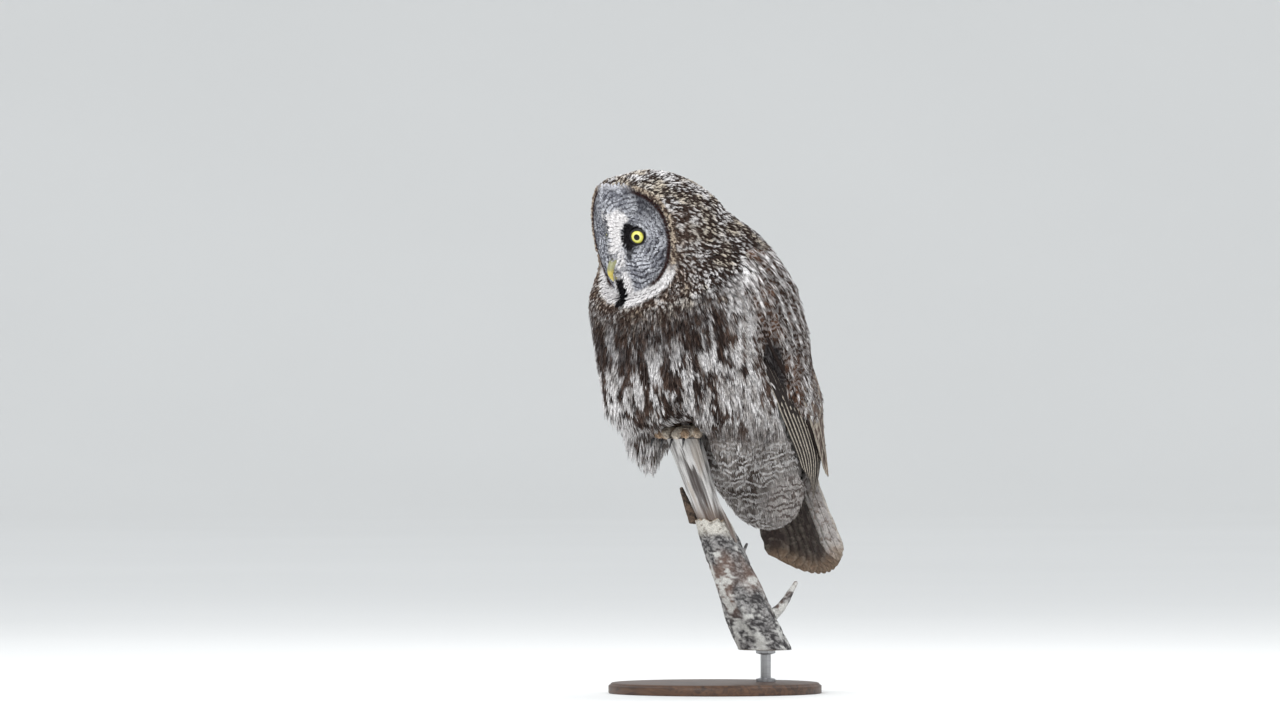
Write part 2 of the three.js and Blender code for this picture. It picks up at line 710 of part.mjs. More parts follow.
function perchWood(grow = 0) {
  const rings = [];
  for (let i = 0; i <= PERCH_WOOD_RINGS; i += 1) {
    const t = i / PERCH_WOOD_RINGS;
    const radius = THREE.MathUtils.lerp(PERCH_WIDTHS.top, PERCH_WIDTHS.split, t ** PERCH_WIDTHS.woodEase);
    rings.push(perchRing(t * PERCH_SPLIT, radius + grow));
  }
  rings[0].forEach((point) => point.setZ(point.z + grow));
  return toSolid(loftFlatEnds(rings));
}

function perchBark(grow = 0) {
  const rings = [];
  const start = PERCH_SPLIT + GAP / (PERCH_TOP.z - PERCH_FOOT.z);
  for (let i = 0; i <= PERCH_BARK_RINGS; i += 1) {
    const t = i / PERCH_BARK_RINGS;
    const radius = THREE.MathUtils.lerp(PERCH_WIDTHS.bark, PERCH_WIDTHS.foot, t ** PERCH_WIDTHS.barkEase);
    rings.push(perchRing(THREE.MathUtils.lerp(start, 1, t), radius + grow));
  }
  return toSolid(loftFlatEnds(rings));
}

function spur(shape) {
  const radiusAt = (t) => THREE.MathUtils.lerp(shape.root, shape.tip, t);
  return toSolid(taperedTube(vectors(shape.places), radiusAt, shape.steps, shape.sides));
}

// Stand

function turned(profile, x, y, sides) {
  const points = profile.map(([r, z]) => new THREE.Vector2(r, z));
  return toSolid(new THREE.LatheGeometry(points, sides).rotateX(Math.PI / 2).translate(x, y, 0));
}

function standBase() {
  const { radius, high, bevel, foot, sides } = STAND_BASE;
  const profile = [
    [0, 0], [radius - foot, 0], [radius, foot], [radius, high - bevel], [radius - bevel, high], [0, high],
  ];
  return turned(profile, 0, 0, sides);
}

function standRod() {
  const { radius, top, collarRadius, collarHigh, flare, sides } = STAND_ROD;
  const low = STAND_BASE.high + GAP;
  const end = PERCH_FOOT.z - GAP;
  const profile = [
    [0, low], [collarRadius, low], [collarRadius, low + collarHigh - flare], [radius, low + collarHigh],
    [radius, top - flare], [collarRadius, top], [collarRadius, end], [0, end],
  ];
  return turned(profile, PERCH_FOOT.x, PERCH_FOOT.y, sides);
}

// Assembly

const WING_SHAPE = {
  levelAt: wingAt,
  top: WING_LEVELS[0].z,
  tip: WING_LEVELS[WING_LEVELS.length - 1].z,
  rows: WING_ROWS,
  columns: WING_COLUMNS,
  thickAt: wingThickness,
  sink: 0,
  step: true,
};

const PRIMARY_SHAPE = {
  levelAt: primaryAt,
  top: PRIMARY_LEVELS[0].z,
  tip: PRIMARY_LEVELS[PRIMARY_LEVELS.length - 1].z,
  rows: PRIMARY_ROWS,
  columns: PRIMARY_COLUMNS,
  thickAt: () => PRIMARY_THICK,
  sink: WING_THICK.hand + GAP,
  step: false,
};

const SIDES = [['left', 1], ['right', -1]];

function minus(solid, cutters) {
  return cutters.reduce((left, cutter) => left.subtract(cutter), solid);
}

// Every piece that stands in the body's way, grown by the gap kept to its neighbours.
function bodyCutters() {
  const cutters = [tailSlot(), billSolid(BILL_UPPER, GAP), billSolid(BILL_LOWER, GAP)];
  for (const [name, side] of SIDES) {
    cutters.push(wingStrip(side, WING_SHAPE, GAP));
    cutters.push(wingStrip(side, PRIMARY_SHAPE, GAP));
    cutters.push(eyeball(side, EYE.radius + GAP));
    cutters.push(legSolid(LEGS[name], GAP));
  }
  return cutters;
}

function addPerch() {
  const wood = perchWood();
  const bark = perchBark();
  const around = [perchWood(GAP), perchBark(GAP)];
  add('perch_wood', wood, 'wood');
  add('perch_bark', bark, 'bark');
  add('perch_splinter', minus(spur(SPLINTER), around), 'wood');
  add('perch_flap', minus(spur(BARK_FLAP), around), 'bark');
  add('perch_fork', minus(spur(FORK_STUB), around), 'bark');
  add('perch_twig', minus(spur(TWIG_STUB), around), 'bark');
}

function addStand() {
  add('stand_base', standBase(), 'base');
  add('stand_rod', standRod(), 'rod');
}

// The foot and its claws, grown by the gap kept to them.
function footCutters(side) {
  return [footSolid(side, GAP), ...TOES.map((toe) => clawSolid(side, toe, GAP))];
}

function addLimbs() {
  const wood = perchWood(GAP);
  for (const [name, side] of SIDES) {
    const cutters = [wingStrip(side, WING_SHAPE, GAP), tailSlot()];
    add(`wing_${name}`, wingStrip(side, WING_SHAPE), 'flight');
    add(`primaries_${name}`, minus(wingStrip(side, PRIMARY_SHAPE), cutters), 'tail');
    add(`leg_${name}`, minus(legSolid(LEGS[name]), footCutters(side)), 'breast');
    add(`foot_${name}`, footSolid(side).subtract(wood), 'toe');
    TOES.forEach((toe, i) => {
      add(`claw_${name}_${i + 1}`, clawSolid(side, toe).subtract(wood), 'claw');
    });
  }
}

function addFeatures() {
  for (const [name, side] of SIDES) {
    add(`eye_${name}`, eyeball(side, EYE.radius), 'eye');
  }
  add('bill_upper', billSolid(BILL_UPPER), 'bill');
  add('bill_lower', billSolid(BILL_LOWER).subtract(billSolid(BILL_UPPER, GAP)), 'bill');
}

// The body is one shape, parted by thin cuts into the pieces that a person would name.
function addBody() {
  const body = minus(wholeHead().add(wholeTrunk()), bodyCutters());
  const head = body.intersect(above(NECK_TOP));
  const neck = body.subtract(above(NECK_TOP, -GAP)).intersect(above(NECK_BASE));
  const chest = body.subtract(above(NECK_BASE, -GAP)).intersect(above(BELLY_TOP));
  const belly = body.subtract(above(BELLY_TOP, -GAP)).intersect(above(RUMP_TOP));
  const rump = body.subtract(above(RUMP_TOP, -GAP));
  add('head', head, 'face');
  add('neck', neck, 'plumage');
  add('breast', chest.subtract(behind(-GAP)), 'breast');
  add('back', chest.intersect(behind(0)), 'plumage');
  add('belly', belly, 'breast');
  add('rump', rump, 'breast');
}

addStand();
addPerch();
addFeatures();
addLimbs();
add('tail', tailSolid(), 'tail');
addBody();

export default group;
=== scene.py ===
"""A life-size great grey owl on a short cut length of broken trunk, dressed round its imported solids.

Metres, +Z up. The owl faces -Y and its left side is +X. The head's frame and the sizes of feathers, markings
and noise are in millimetres.
"""

import math

import bpy
import numpy as np
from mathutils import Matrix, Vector
from mathutils.bvhtree import BVHTree
from mathutils.kdtree import KDTree


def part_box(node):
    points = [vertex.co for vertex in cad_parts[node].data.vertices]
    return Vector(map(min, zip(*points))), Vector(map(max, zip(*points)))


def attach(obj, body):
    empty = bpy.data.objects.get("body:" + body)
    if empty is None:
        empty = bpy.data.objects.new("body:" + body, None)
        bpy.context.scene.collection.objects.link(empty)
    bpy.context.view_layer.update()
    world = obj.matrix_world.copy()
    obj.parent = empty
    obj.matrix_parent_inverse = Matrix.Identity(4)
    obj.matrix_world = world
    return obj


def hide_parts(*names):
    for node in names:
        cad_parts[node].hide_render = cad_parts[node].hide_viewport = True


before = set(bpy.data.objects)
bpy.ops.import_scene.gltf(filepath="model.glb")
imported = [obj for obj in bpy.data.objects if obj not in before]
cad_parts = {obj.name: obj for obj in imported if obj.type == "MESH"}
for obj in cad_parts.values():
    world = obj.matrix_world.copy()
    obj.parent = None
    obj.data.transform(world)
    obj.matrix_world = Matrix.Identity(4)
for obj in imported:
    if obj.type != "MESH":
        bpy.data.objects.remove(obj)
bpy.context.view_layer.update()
rng = np.random.default_rng(7)

MM = 0.001

# Head frame in millimetres: x to the owl's left, y back from the brow ridge, z up from the eyes' level.
HEAD_TURN = math.radians(-7)
HEAD_NOD = math.radians(11)
EYE_BEHIND_BROW = np.array([0, 37.8, -1.4])
EYE_X = 34
EYE_RADIUS = 14
EYE_SPLAY = math.radians(31)
EYE_LIFT = math.radians(-5)
LID_HEM = math.radians(47)
LID_RIM = math.radians(47.5)
LID_FOOT = math.radians(66)
IRIS_RADIUS = 9.7
PUPIL_RADIUS = 4.6
DISC_WIDE = 95
DISC_UP = 78
DISC_DOWN = 92
DISC_POWER = 2.2
DISC_DEEP = 90

# The plane between head and neck, and the middle line of the trunk as heights and places along Y.
NECK_POINT = np.array([0, -0.100, 0.637])
NECK_TIP = math.radians(31)
TRUNK_Z = [0.25, 0.31, 0.372, 0.445, 0.535, 0.62, 0.70]
TRUNK_Y = [0.113, 0.090, 0.048, 0.005, -0.028, -0.050, -0.075]

FLESH = ["head", "neck", "breast", "back", "belly", "rump", "leg_left", "leg_right"]
WINGS = ["wing_left", "wing_right"]
PRIMARIES = ["primaries_left", "primaries_right"]
SIDES = {"left": 1, "right": -1}

# The coat's zones and how far apart their tufts stand, in millimetres, the neck's at its foot. Then the numbers
# of places to choose roots from and the width of a tuft's patch in the UV map.
FACE, HEAD, NECK, BREAST, BELLY, VENT, BACK, COVERTS = range(8)
NOWHERE = -1
SPACING = [3.2, 4.6, 7.2, 7.2, 7.2, 7.4, 7.6, 7.8]
NECK_TOP_SPACING = 4.8
FOOT_SPACING = 2.4
BODY_POINTS = 110000
FACE_POINTS = 200000
FOOT_POINTS = 9000
BAKE_PATCH = 0.003

# The meshes of skin and outer form: the voxels' size in millimetres and the rounds of smoothing.
FORM_VOXEL = 4.5
FORM_ROUNDS = 14

# The camera looks level from the owl's front left, with 1.5 mm for each of the picture's 1280 columns. (X + Y)
# times DIAGONAL is a distance across the picture.
CAMERA_TURN = math.radians(45)
CAMERA_DISTANCE = 15
CAMERA_RIGHT = -0.1125
CAMERA_HEIGHT = 0.4995
VIEW_WIDTH = 1.5 * 1.28
DIAGONAL = 0.7071


def rgb(*values):
    return np.array(values)


# Linear colours
WHITE = rgb(0.74, 0.72, 0.72)
PALE = rgb(0.50, 0.47, 0.455)
CREAM = rgb(0.62, 0.55, 0.46)
GREY = rgb(0.235, 0.225, 0.23)
TAN = rgb(0.36, 0.25, 0.165)
RUFOUS = rgb(0.17, 0.085, 0.05)
BROWN = rgb(0.075, 0.048, 0.037)
DARK = rgb(0.024, 0.016, 0.014)
BLACK = rgb(0.008, 0.007, 0.008)
VENT_DARK = rgb(0.095, 0.075, 0.065)
VENT_PALE = rgb(0.40, 0.37, 0.35)
DISC_DARK = rgb(0.22, 0.225, 0.26)
DISC_PALE = rgb(0.72, 0.73, 0.78)
DISC_CREASE = rgb(0.10, 0.10, 0.12)
DISC_RIM = rgb(0.030, 0.012, 0.010)
DISC_RING = rgb(0.030, 0.028, 0.036)
IRIS = rgb(0.76, 0.74, 0.14)
IRIS_SPOKE = rgb(0.60, 0.54, 0.06)
IRIS_INNER = rgb(0.86, 0.86, 0.36)
IRIS_OUTER = rgb(0.16, 0.12, 0.01)
BILL = rgb(0.52, 0.42, 0.08)
BILL_ROOT = rgb(0.27, 0.27, 0.14)
BILL_TIP = rgb(0.66, 0.58, 0.26)
CLAW = rgb(0.012, 0.011, 0.012)
WOOD_DARK = rgb(0.17, 0.16, 0.155)
WOOD_PALE = rgb(0.56, 0.545, 0.535)
WOOD_WARM = rgb(0.34, 0.27, 0.21)
WOOD_FOOT = rgb(0.11, 0.07, 0.05)
BARK_DARK = rgb(0.035, 0.032, 0.033)
BARK_PALE = rgb(0.33, 0.32, 0.315)
BARK_RED = rgb(0.20, 0.125, 0.095)
LICHEN = rgb(0.56, 0.555, 0.53)
RIM_DARK = rgb(0.22, 0.195, 0.165)
RIM_PALE = rgb(0.54, 0.515, 0.47)
CUT_WOOD = rgb(0.36, 0.27, 0.18)
FLAP_DARK = rgb(0.022, 0.015, 0.012)
FLAP_PALE = rgb(0.12, 0.08, 0.055)


# Numbers and vectors

def unit(v):
    return v / np.maximum(np.linalg.norm(v, axis=-1, keepdims=True), 1e-9)


def smooth(low, high, x):
    """0 at low, 1 at high and eased between them. low may be the greater."""
    t = np.clip((x - low) / (high - low), 0, 1)
    return t * t * (3 - 2 * t)


def bell(x):
    return np.exp(-x ** 2)


def blend(a, b, t):
    return a + (b - a) * t


def mix(a, b, t):
    """Blends colours by one share for each place."""
    return blend(a, b, np.asarray(t)[..., None])


def parts(p):
    return np.moveaxis(p, -1, 0)


def join(*values):
    """Joins coordinates to places, or channels to colours."""
    return np.stack(np.broadcast_arrays(*values), -1)


def lattice(cell, seed):
    """A repeatable number from 0 to 1 for each whole-numbered cell."""
    x, y, z = parts(cell)
    h = (x * 73856093) ^ (y * 19349663) ^ (z * 83492791) ^ (seed * 2654435761)
    h = (h ^ (h >> 13)) * 1274126177 & 0xFFFFFFFF
    return ((h ^ (h >> 16)) & 0xFFFF) / 65535.0


def noise(points, size, seed):
    """Smooth noise from 0 to 1. size is the feature size, or one for each axis, in the unit of the points."""
    q = points / np.asarray(size)
    base = np.floor(q).astype(np.int64)
    f = q - base
    f = f * f * (3 - 2 * f)
    total = 0
    for corner in np.ndindex(2, 2, 2):
        weight = np.prod(np.where(np.array(corner), f, 1 - f), axis=-1)
        total = total + weight * lattice(base + np.array(corner), seed)
    return total


# Head and trunk frames

def about_x(angle):
    c, s = math.cos(angle), math.sin(angle)
    return np.array([[1, 0, 0], [0, c, -s], [0, s, c]])


def about_z(angle):
    c, s = math.cos(angle), math.sin(angle)
    return np.array([[c, -s, 0], [s, c, 0], [0, 0, 1]])


def node_middle(name):
    low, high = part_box(name)
    return (np.array(low) + np.array(high)) / 2


HEAD_AXES = about_z(HEAD_TURN) @ about_x(HEAD_NOD)
HEAD_ORIGIN = (node_middle("eye_left") + node_middle("eye_right")) / 2 - HEAD_AXES @ (EYE_BEHIND_BROW * MM)
NECK_UP = np.array([0, -math.sin(NECK_TIP), math.cos(NECK_TIP)])


def to_head(points):
    return (points - HEAD_ORIGIN) @ HEAD_AXES / MM


def from_head(q):
    return q @ HEAD_AXES.T * MM + HEAD_ORIGIN


def from_eye(x, z):
    return np.hypot(np.abs(x) - EYE_X, z)


def disc_share(q):
    """0 at the middle of the face and 1 at the facial disc's rim, for places of the head's frame."""
    high = np.where(q[..., 2] > 0, DISC_UP, DISC_DOWN)
    across = np.abs(q[..., 0]) / DISC_WIDE
    up = np.abs(q[..., 2]) / high
    return (across ** DISC_POWER + up ** DISC_POWER) ** (1 / DISC_POWER)


def face_depth(x, z):
    """How far the face lies behind the brow ridge: it slants to the sides, with a bowl round each eye."""
    slant = 48 * (np.abs(x) / DISC_WIDE) ** 1.05
    bowl = 13 * bell(from_eye(x, z) / 25)
    brow = np.where(z > 0, 9 * (z / DISC_UP) ** 2, 12 * (z / DISC_DOWN) ** 2)
    return slant + bowl + brow


def behind_rim(q):
    """How far a place lies from the facial disc's rim, outward and back along the head."""
    out = disc_share(q)
    share = np.maximum(out, 0.05)
    back = q[..., 1] - face_depth(q[..., 0] / share, q[..., 2] / share)
    return np.maximum(back, 0) + DISC_WIDE * np.maximum(out - 1, 0)


def above_neck(p):
    """Millimetres above the plane between head and neck."""
    return (p - NECK_POINT) @ NECK_UP / MM


def trunk_y(z):
    return np.interp(z, TRUNK_Z, TRUNK_Y)


def round_body(p):
    """Angle round the trunk, from 0 at the breast to pi at the back's middle."""
    return np.arctan2(np.abs(p[..., 0]), trunk_y(p[..., 2]) - p[..., 1])


# Meshes

def link(name, data):
    thing = bpy.data.objects.new(name, data)
    bpy.context.scene.collection.objects.link(thing)
    return thing


def fast_object(name, places, loops, sizes):
    """An object from arrays: places, the corner indices in face order, and each face's corner count."""
    mesh = bpy.data.meshes.new(name)
    mesh.vertices.add(len(places))
    mesh.vertices.foreach_set("co", places.astype(np.float32).ravel())
    mesh.loops.add(len(loops))
    mesh.loops.foreach_set("vertex_index", loops.astype(np.int32))
    mesh.polygons.add(len(sizes))
    starts = np.concatenate([[0], np.cumsum(sizes)[:-1]])
    mesh.polygons.foreach_set("loop_start", starts.astype(np.int32))
    mesh.polygons.foreach_set("use_smooth", np.ones(len(sizes), bool))
    mesh.update(calc_edges=True)
    return link(name, mesh)


def new_object(name, places, faces):
    return fast_object(name, np.array(places), np.concatenate(faces), [len(f) for f in faces])


def paint(thing, colors, name="Tint"):
    """Stores one colour for each vertex, or one for all."""
    count = len(thing.data.vertices)
    full = np.ones((count, 4), np.float32)
    full[:, :3] = np.clip(colors, 0, 1)
    layer = thing.data.color_attributes.new(name, "FLOAT_COLOR", "POINT")
    layer.data.foreach_set("color", full.ravel())


def store_uv(thing, name, uv):
    layer = thing.data.uv_layers.new(name=name)
    layer.data.foreach_set("uv", uv.astype(np.float32).ravel())


def vertex_values(thing, key):
    out = np.zeros(len(thing.data.vertices) * 3, np.float32)
    thing.data.vertices.foreach_get(key, out)
    return out.reshape(-1, 3).astype(float)


def places_of(thing):
    return vertex_values(thing, "co")


def normals_of(thing):
    return vertex_values(thing, "normal")


def set_places(thing, places):
    thing.data.vertices.foreach_set("co", places.astype(np.float32).ravel())
    thing.data.update()


def copy_nodes(name, nodes):
    places = []
    faces = []
    for node in nodes:
        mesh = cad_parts[node].data
        start = len(places)
        places.extend(v.co.copy() for v in mesh.vertices)
        faces.extend([start + i for i in polygon.vertices] for polygon in mesh.polygons)
    return new_object(name, places, faces)


def modify(thing, **kinds):
    """Applies modifiers, each given as its type and its values."""
    for kind, values in kinds.items():
        modifier = thing.modifiers.new(kind, kind)
        for key, value in values.items():
            setattr(modifier, key, value)
    graph = bpy.context.evaluated_depsgraph_get()
    mesh = bpy.data.meshes.new_from_object(thing.evaluated_get(graph))
    old = thing.data
    thing.modifiers.clear()
    thing.data = mesh
    bpy.data.meshes.remove(old)
    mesh.polygons.foreach_set("use_smooth", [True] * len(mesh.polygons))
    return thing


def remeshed(name, nodes, voxel, rounds):
    """A copy of some nodes as one even mesh, relaxed. voxel is in millimetres."""
    return modify(copy_nodes(name, nodes), REMESH=dict(mode="VOXEL", voxel_size=voxel * MM),
                  SMOOTH=dict(factor=0.5, iterations=rounds))


def smooth_copy(name, nodes):
    return modify(copy_nodes(name, nodes), WELD=dict(merge_threshold=0.00001),
                  SUBSURF=dict(levels=2, render_levels=2))


def tree_of(mesh):
    return BVHTree.FromPolygons([v.co for v in mesh.vertices], [p.vertices for p in mesh.polygons])


class Surface:
    """A mesh that points can be scattered over and walked along."""

    def __init__(self, thing):
        mesh = thing.data
        mesh.calc_loop_triangles()
        self.places = places_of(thing)
        self.normals = normals_of(thing)
        tris = np.zeros(len(mesh.loop_triangles) * 3, np.int32)
        mesh.loop_triangles.foreach_get("vertices", tris)
        self.tris = tris.reshape(-1, 3)
        self.tree = BVHTree.FromPolygons(self.places.tolist(), self.tris.tolist())

    def scatter(self, count):
        a, b, c = (self.places[self.tris[:, i]] for i in range(3))
        area = np.linalg.norm(np.cross(b - a, c - a), axis=1)
        pick = rng.choice(len(area), count, p=area / area.sum())
        u, v = rng.random(count), rng.random(count)
        flip = u + v > 1
        u, v = np.where(flip, 1 - u, u), np.where(flip, 1 - v, v)
        return a[pick] + (b[pick] - a[pick]) * u[:, None] + (c[pick] - a[pick]) * v[:, None]

    def nearest(self, points):
        """The nearest places on the surface, with smooth normals."""
        places = np.empty_like(points)
        index = np.empty(len(points), int)
        for i, point in enumerate(points.tolist()):
            places[i], _, index[i], _ = self.tree.find_nearest(point)
        corner = self.tris[index]
        a, b, c = (self.places[corner[:, i]] for i in range(3))
        whole = np.maximum(np.linalg.norm(np.cross(b - a, c - a), axis=1), 1e-12)
        share = [np.linalg.norm(np.cross(p - places, q - places), axis=1) / whole
                 for p, q in ((b, c), (c, a), (a, b))]
        return places, unit(sum(self.normals[corner[:, i]] * share[i][:, None] for i in range(3)))


def thin_out(points, spacing):
    """Keeps points so that none is nearer to another than the spacing at its place."""
    tree = KDTree(len(points))
    for i, point in enumerate(points.tolist()):
        tree.insert(point, i)
    tree.balance()
    gone = np.zeros(len(points), bool)
    for i, point in enumerate(points.tolist()):
        if not gone[i]:
            for _, j, _ in tree.find_range(point, spacing[i]):
                if j > i:
                    gone[j] = True
    return points[~gone]


# Materials

class Shader:
    """A Principled material, with short ways to add and join its nodes."""

    def __init__(self, name, roughness, coat=0.0, metallic=0.0, shine=0.5):
        self.material = bpy.data.materials.new(name)
        self.material.use_nodes = True
        self.tree = self.material.node_tree
        self.bsdf = self.tree.nodes["Principled BSDF"]
        for key, value in {"Roughness": roughness, "Specular IOR Level": shine, "Coat Weight": coat,
                           "Coat Roughness": 0.03, "Metallic": metallic}.items():
            self.bsdf.inputs[key].default_value = value
        self.place = self.add("ShaderNodeNewGeometry").outputs["Position"]

    def add(self, kind, links=None, **values):
        node = self.tree.nodes.new(kind)
        for key, value in values.items():
            setattr(node, key, value)
        for key, value in (links or {}).items():
            if isinstance(value, bpy.types.NodeSocket):
                self.tree.links.new(value, node.inputs[key])
            else:
                node.inputs[key].default_value = value
        return node

    def math(self, operation, first, *rest):
        """An operation on one value, or on several from the left to the right."""
        if not rest:
            return self.add("ShaderNodeMath", {0: first}, operation=operation).outputs[0]
        for value in rest:
            first = self.add("ShaderNodeMath", {0: first, 1: value}, operation=operation).outputs[0]
        return first

    def vector(self, operation, output, first, *rest):
        links = dict(enumerate((first, *rest)))
        return self.add("ShaderNodeVectorMath", links, operation=operation).outputs[output]

    def noise(self, scale, detail=2.0, vector=None, distortion=0.0):
        links = {"Vector": vector or self.place, "Scale": scale, "Detail": detail, "Distortion": distortion}
        return self.add("ShaderNodeTexNoise", links).outputs[0]

    def stretched(self, scale):
        return self.add("ShaderNodeMapping", {"Vector": self.place, "Scale": scale}).outputs[0]

    def ramp(self, factor, *stops):
        node = self.add("ShaderNodeValToRGB", {"Fac": factor})
        ramp = node.color_ramp
        while len(ramp.elements) < len(stops):
            ramp.elements.new(0.5)
        for element, (place, color) in zip(ramp.elements, stops):
            element.position = place
            element.color = (*color, 1)
        return node.outputs[0]

    def grey(self, factor, low, high, start=0.0, end=1.0):
        """A grey that goes from start, where the factor is low, to end, where it is high."""
        return self.ramp(factor, (low, (start,) * 3), (high, (end,) * 3))

    def blend(self, kind, factor, a, b):
        node = self.add("ShaderNodeMix", data_type="RGBA", blend_type=kind)
        for socket, value in ((node.inputs[0], factor), (node.inputs[6], a), (node.inputs[7], b)):
            if isinstance(value, bpy.types.NodeSocket):
                self.tree.links.new(value, socket)
            else:
                socket.default_value = value if isinstance(value, float) else (*value, 1)
        return node.outputs[2]

    def layer(self, name):
        return self.add("ShaderNodeVertexColor", layer_name=name).outputs[0]

    def marks(self):
        """The painted marks: how strong the bars are, a shift of theirs, and a third value."""
        return self.add("ShaderNodeSeparateColor", {0: self.layer("Marks")}).outputs

    def grained(self, color, scale, dark, bright):
        return self.blend("MULTIPLY", 1.0, color, self.grey(self.noise(scale), 0.3, 0.7, dark, bright))

    def bars(self, run, waves, wavy, shift, low, high):
        """Crossbars along a length given in turns, bent by noise and shifted by the marks."""
        run = self.math("ADD", run, self.math("MULTIPLY", waves, wavy),
                        self.math("MULTIPLY", self.marks()[1], shift))
        return self.grey(self.math("SINE", self.math("MULTIPLY", run, 6.283)), low, high)

    def bump(self, height, strength, distance):
        links = {"Height": height, "Strength": strength, "Distance": distance}
        self.tree.links.new(self.add("ShaderNodeBump", links).outputs[0], self.bsdf.inputs["Normal"])

    def done(self, color):
        self.tree.links.new(color, self.bsdf.inputs["Base Color"])
        return self.material


def tinted(name, scale, dark, bright, roughness, **values):
    """A material that takes its colour from the painted tint, broken up by fine noise."""
    s = Shader(name, roughness, **values)
    return s.done(s.grained(s.layer("Tint"), scale, dark, bright))


def plumage_material():
    """Painted plumage with fine wavy crossbars where the marks ask for them."""
    s = Shader("plumage", 0.9, shine=0.12)
    lean = s.vector("DOT_PRODUCT", "Value", s.place, (0.0, 0.25, -0.97))
    bars = s.bars(s.math("MULTIPLY", lean, 84.0), s.noise(45.0), 3.2, 1.6, 0.10, 0.6)
    marks = s.marks()
    stripe = s.blend("MIX", marks[2], tuple(BROWN * 1.1), tuple(WHITE))
    color = s.grained(s.layer("Tint"), 420.0, 0.75, 1.22)
    return s.done(s.blend("MIX", s.math("MULTIPLY", bars, marks[0], 0.85), color, stripe))


def face_material():
    """Painted plumage with dark rings round each eye."""
    s = Shader("face_plumage", 0.9, shine=0.12)
    far = []
    for side in SIDES:
        away = s.vector("SUBTRACT", 0, s.place, tuple(node_middle("eye_" + side)))
        far.append(s.vector("LENGTH", "Value", away))
    run = s.math("MULTIPLY", s.math("MINIMUM", *far), 138.0)
    bars = s.bars(run, s.noise(60.0, 3.0), 2.6, 0.5, 0.12, 0.55)
    broken = s.grey(s.noise(150.0), 0.36, 0.5, 0.35)
    amount = s.math("MULTIPLY", bars, s.marks()[0], broken, 0.92)
    return s.done(s.blend("MIX", amount, s.grained(s.layer("Tint"), 500.0, 0.75, 1.2), tuple(DISC_RING)))


def flight_material():
    """Long feathers with broken bars, pale edges, a shaft and fine barbs."""
    s = Shader("flight_feather", 0.72, shine=0.25)
    vane = s.add("ShaderNodeSeparateXYZ", {0: s.add("ShaderNodeUVMap", uv_map="Vane").outputs[0]}).outputs
    marks = s.marks()
    rough = s.noise(240.0)
    off_middle = s.math("ABSOLUTE", s.math("SUBTRACT", vane[0], 0.45))
    run = s.math("SUBTRACT", vane[1], s.math("MULTIPLY", off_middle, 0.16))
    wavy = s.math("MULTIPLY", s.noise(60.0, 3.0), 0.20)
    run = s.math("ADD", run, wavy, s.math("MULTIPLY", rough, 0.05), marks[2])
    bars = s.grey(s.math("SINE", s.math("MULTIPLY", run, 52.0)), 0.35, 0.75)
    bars = s.math("MULTIPLY", bars, marks[0], s.grey(s.noise(90.0), 0.40, 0.55, 0.35))
    tint = s.layer("Tint")
    light = s.add("ShaderNodeRGBToBW", {0: tint}).outputs[0]
    stripe = s.ramp(light, (0.18, tuple(CREAM * 0.8)), (0.28, tuple(BROWN * 2.0)))
    color = s.blend("MIX", bars, tint, stripe)
    edge = s.math("MULTIPLY", s.grey(off_middle, 0.36, 0.46), marks[1])
    color = s.blend("MIX", edge, color, tuple(CREAM * 0.85))
    shaft = s.math("MULTIPLY", s.grey(off_middle, 0.010, 0.028, 1.0, 0.0), 0.7)
    color = s.blend("MIX", shaft, color, tuple(BROWN * 0.7))
    barb = s.math("SINE", s.math("MULTIPLY", s.math("SUBTRACT", vane[1], off_middle), 900.0))
    s.bump(barb, 0.25, 0.0003)
    return s.done(s.blend("MULTIPLY", 1.0, color, s.grey(rough, 0.3, 0.7, 0.65, 1.25)))


def finish(thing, material, slot, *replaced):
    thing.data.materials.clear()
    thing.data.materials.append(material)
    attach(thing, "root")
    if replaced:
        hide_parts(*replaced)


# Skin and the coat's outer form

def shape_face(thing):
    """Gives the face its smooth bowls round the eyes and the ridge between them."""
    q = to_head(places_of(thing))
    ahead = (normals_of(thing) @ HEAD_AXES)[:, 1] < -0.15
    depth = face_depth(q[:, 0], q[:, 2])
    near = np.abs(q[:, 1] - depth) < 30
    q[:, 1] = blend(q[:, 1], depth, smooth(1.03, 0.93, disc_share(q)) * ahead * near)
    set_places(thing, from_head(q))


def coat_depth(p):
    """How deep the feathers are rooted under the coat's outer form, in millimetres."""
    q = to_head(p)
    head = smooth(-60, 20, above_neck(p))
    face = smooth(1.1, 0.95, disc_share(q)) * smooth(DISC_DEEP, 60, q[:, 1]) * head
    legs = smooth(0.43, 0.40, p[:, 2]) * smooth(0.05, 0.02, p[:, 1])
    depth = blend(blend(11, 6, head), 2.5, face)
    return blend(depth, 6, legs * (1 - head))


def make_forms():
    """The surface that the coat's tips follow, and the skin inside it."""
    outer = remeshed("outer_form", FLESH + WINGS, FORM_VOXEL, FORM_ROUNDS)
    shape_face(outer)
    form = Surface(modify(outer, SMOOTH=dict(factor=0.5, iterations=2)))
    bpy.data.objects.remove(outer)
    skin = remeshed("skin", FLESH, FORM_VOXEL, FORM_ROUNDS)
    shape_face(skin)
    places = places_of(skin)
    set_places(skin, places - normals_of(skin) * coat_depth(places)[:, None] * MM)
    return form, modify(skin, SMOOTH=dict(factor=0.5, iterations=4))


# The lie of the coat

LIE_BREAST = (0.10, 0.10, -1.0)
LIE_FLANK = (-0.02, 0.36, -0.93)
LIE_BACK = (-0.14, 0.56, -0.81)
LIE_CROWN = np.array([0, 0.75, -0.66])
LIE_CHEEK = np.array([0, 0.1, -1.0])


def flattened(way, n):
    """The part of a way that runs along the surface."""
    return unit(way - n * np.sum(way * n, axis=1, keepdims=True))


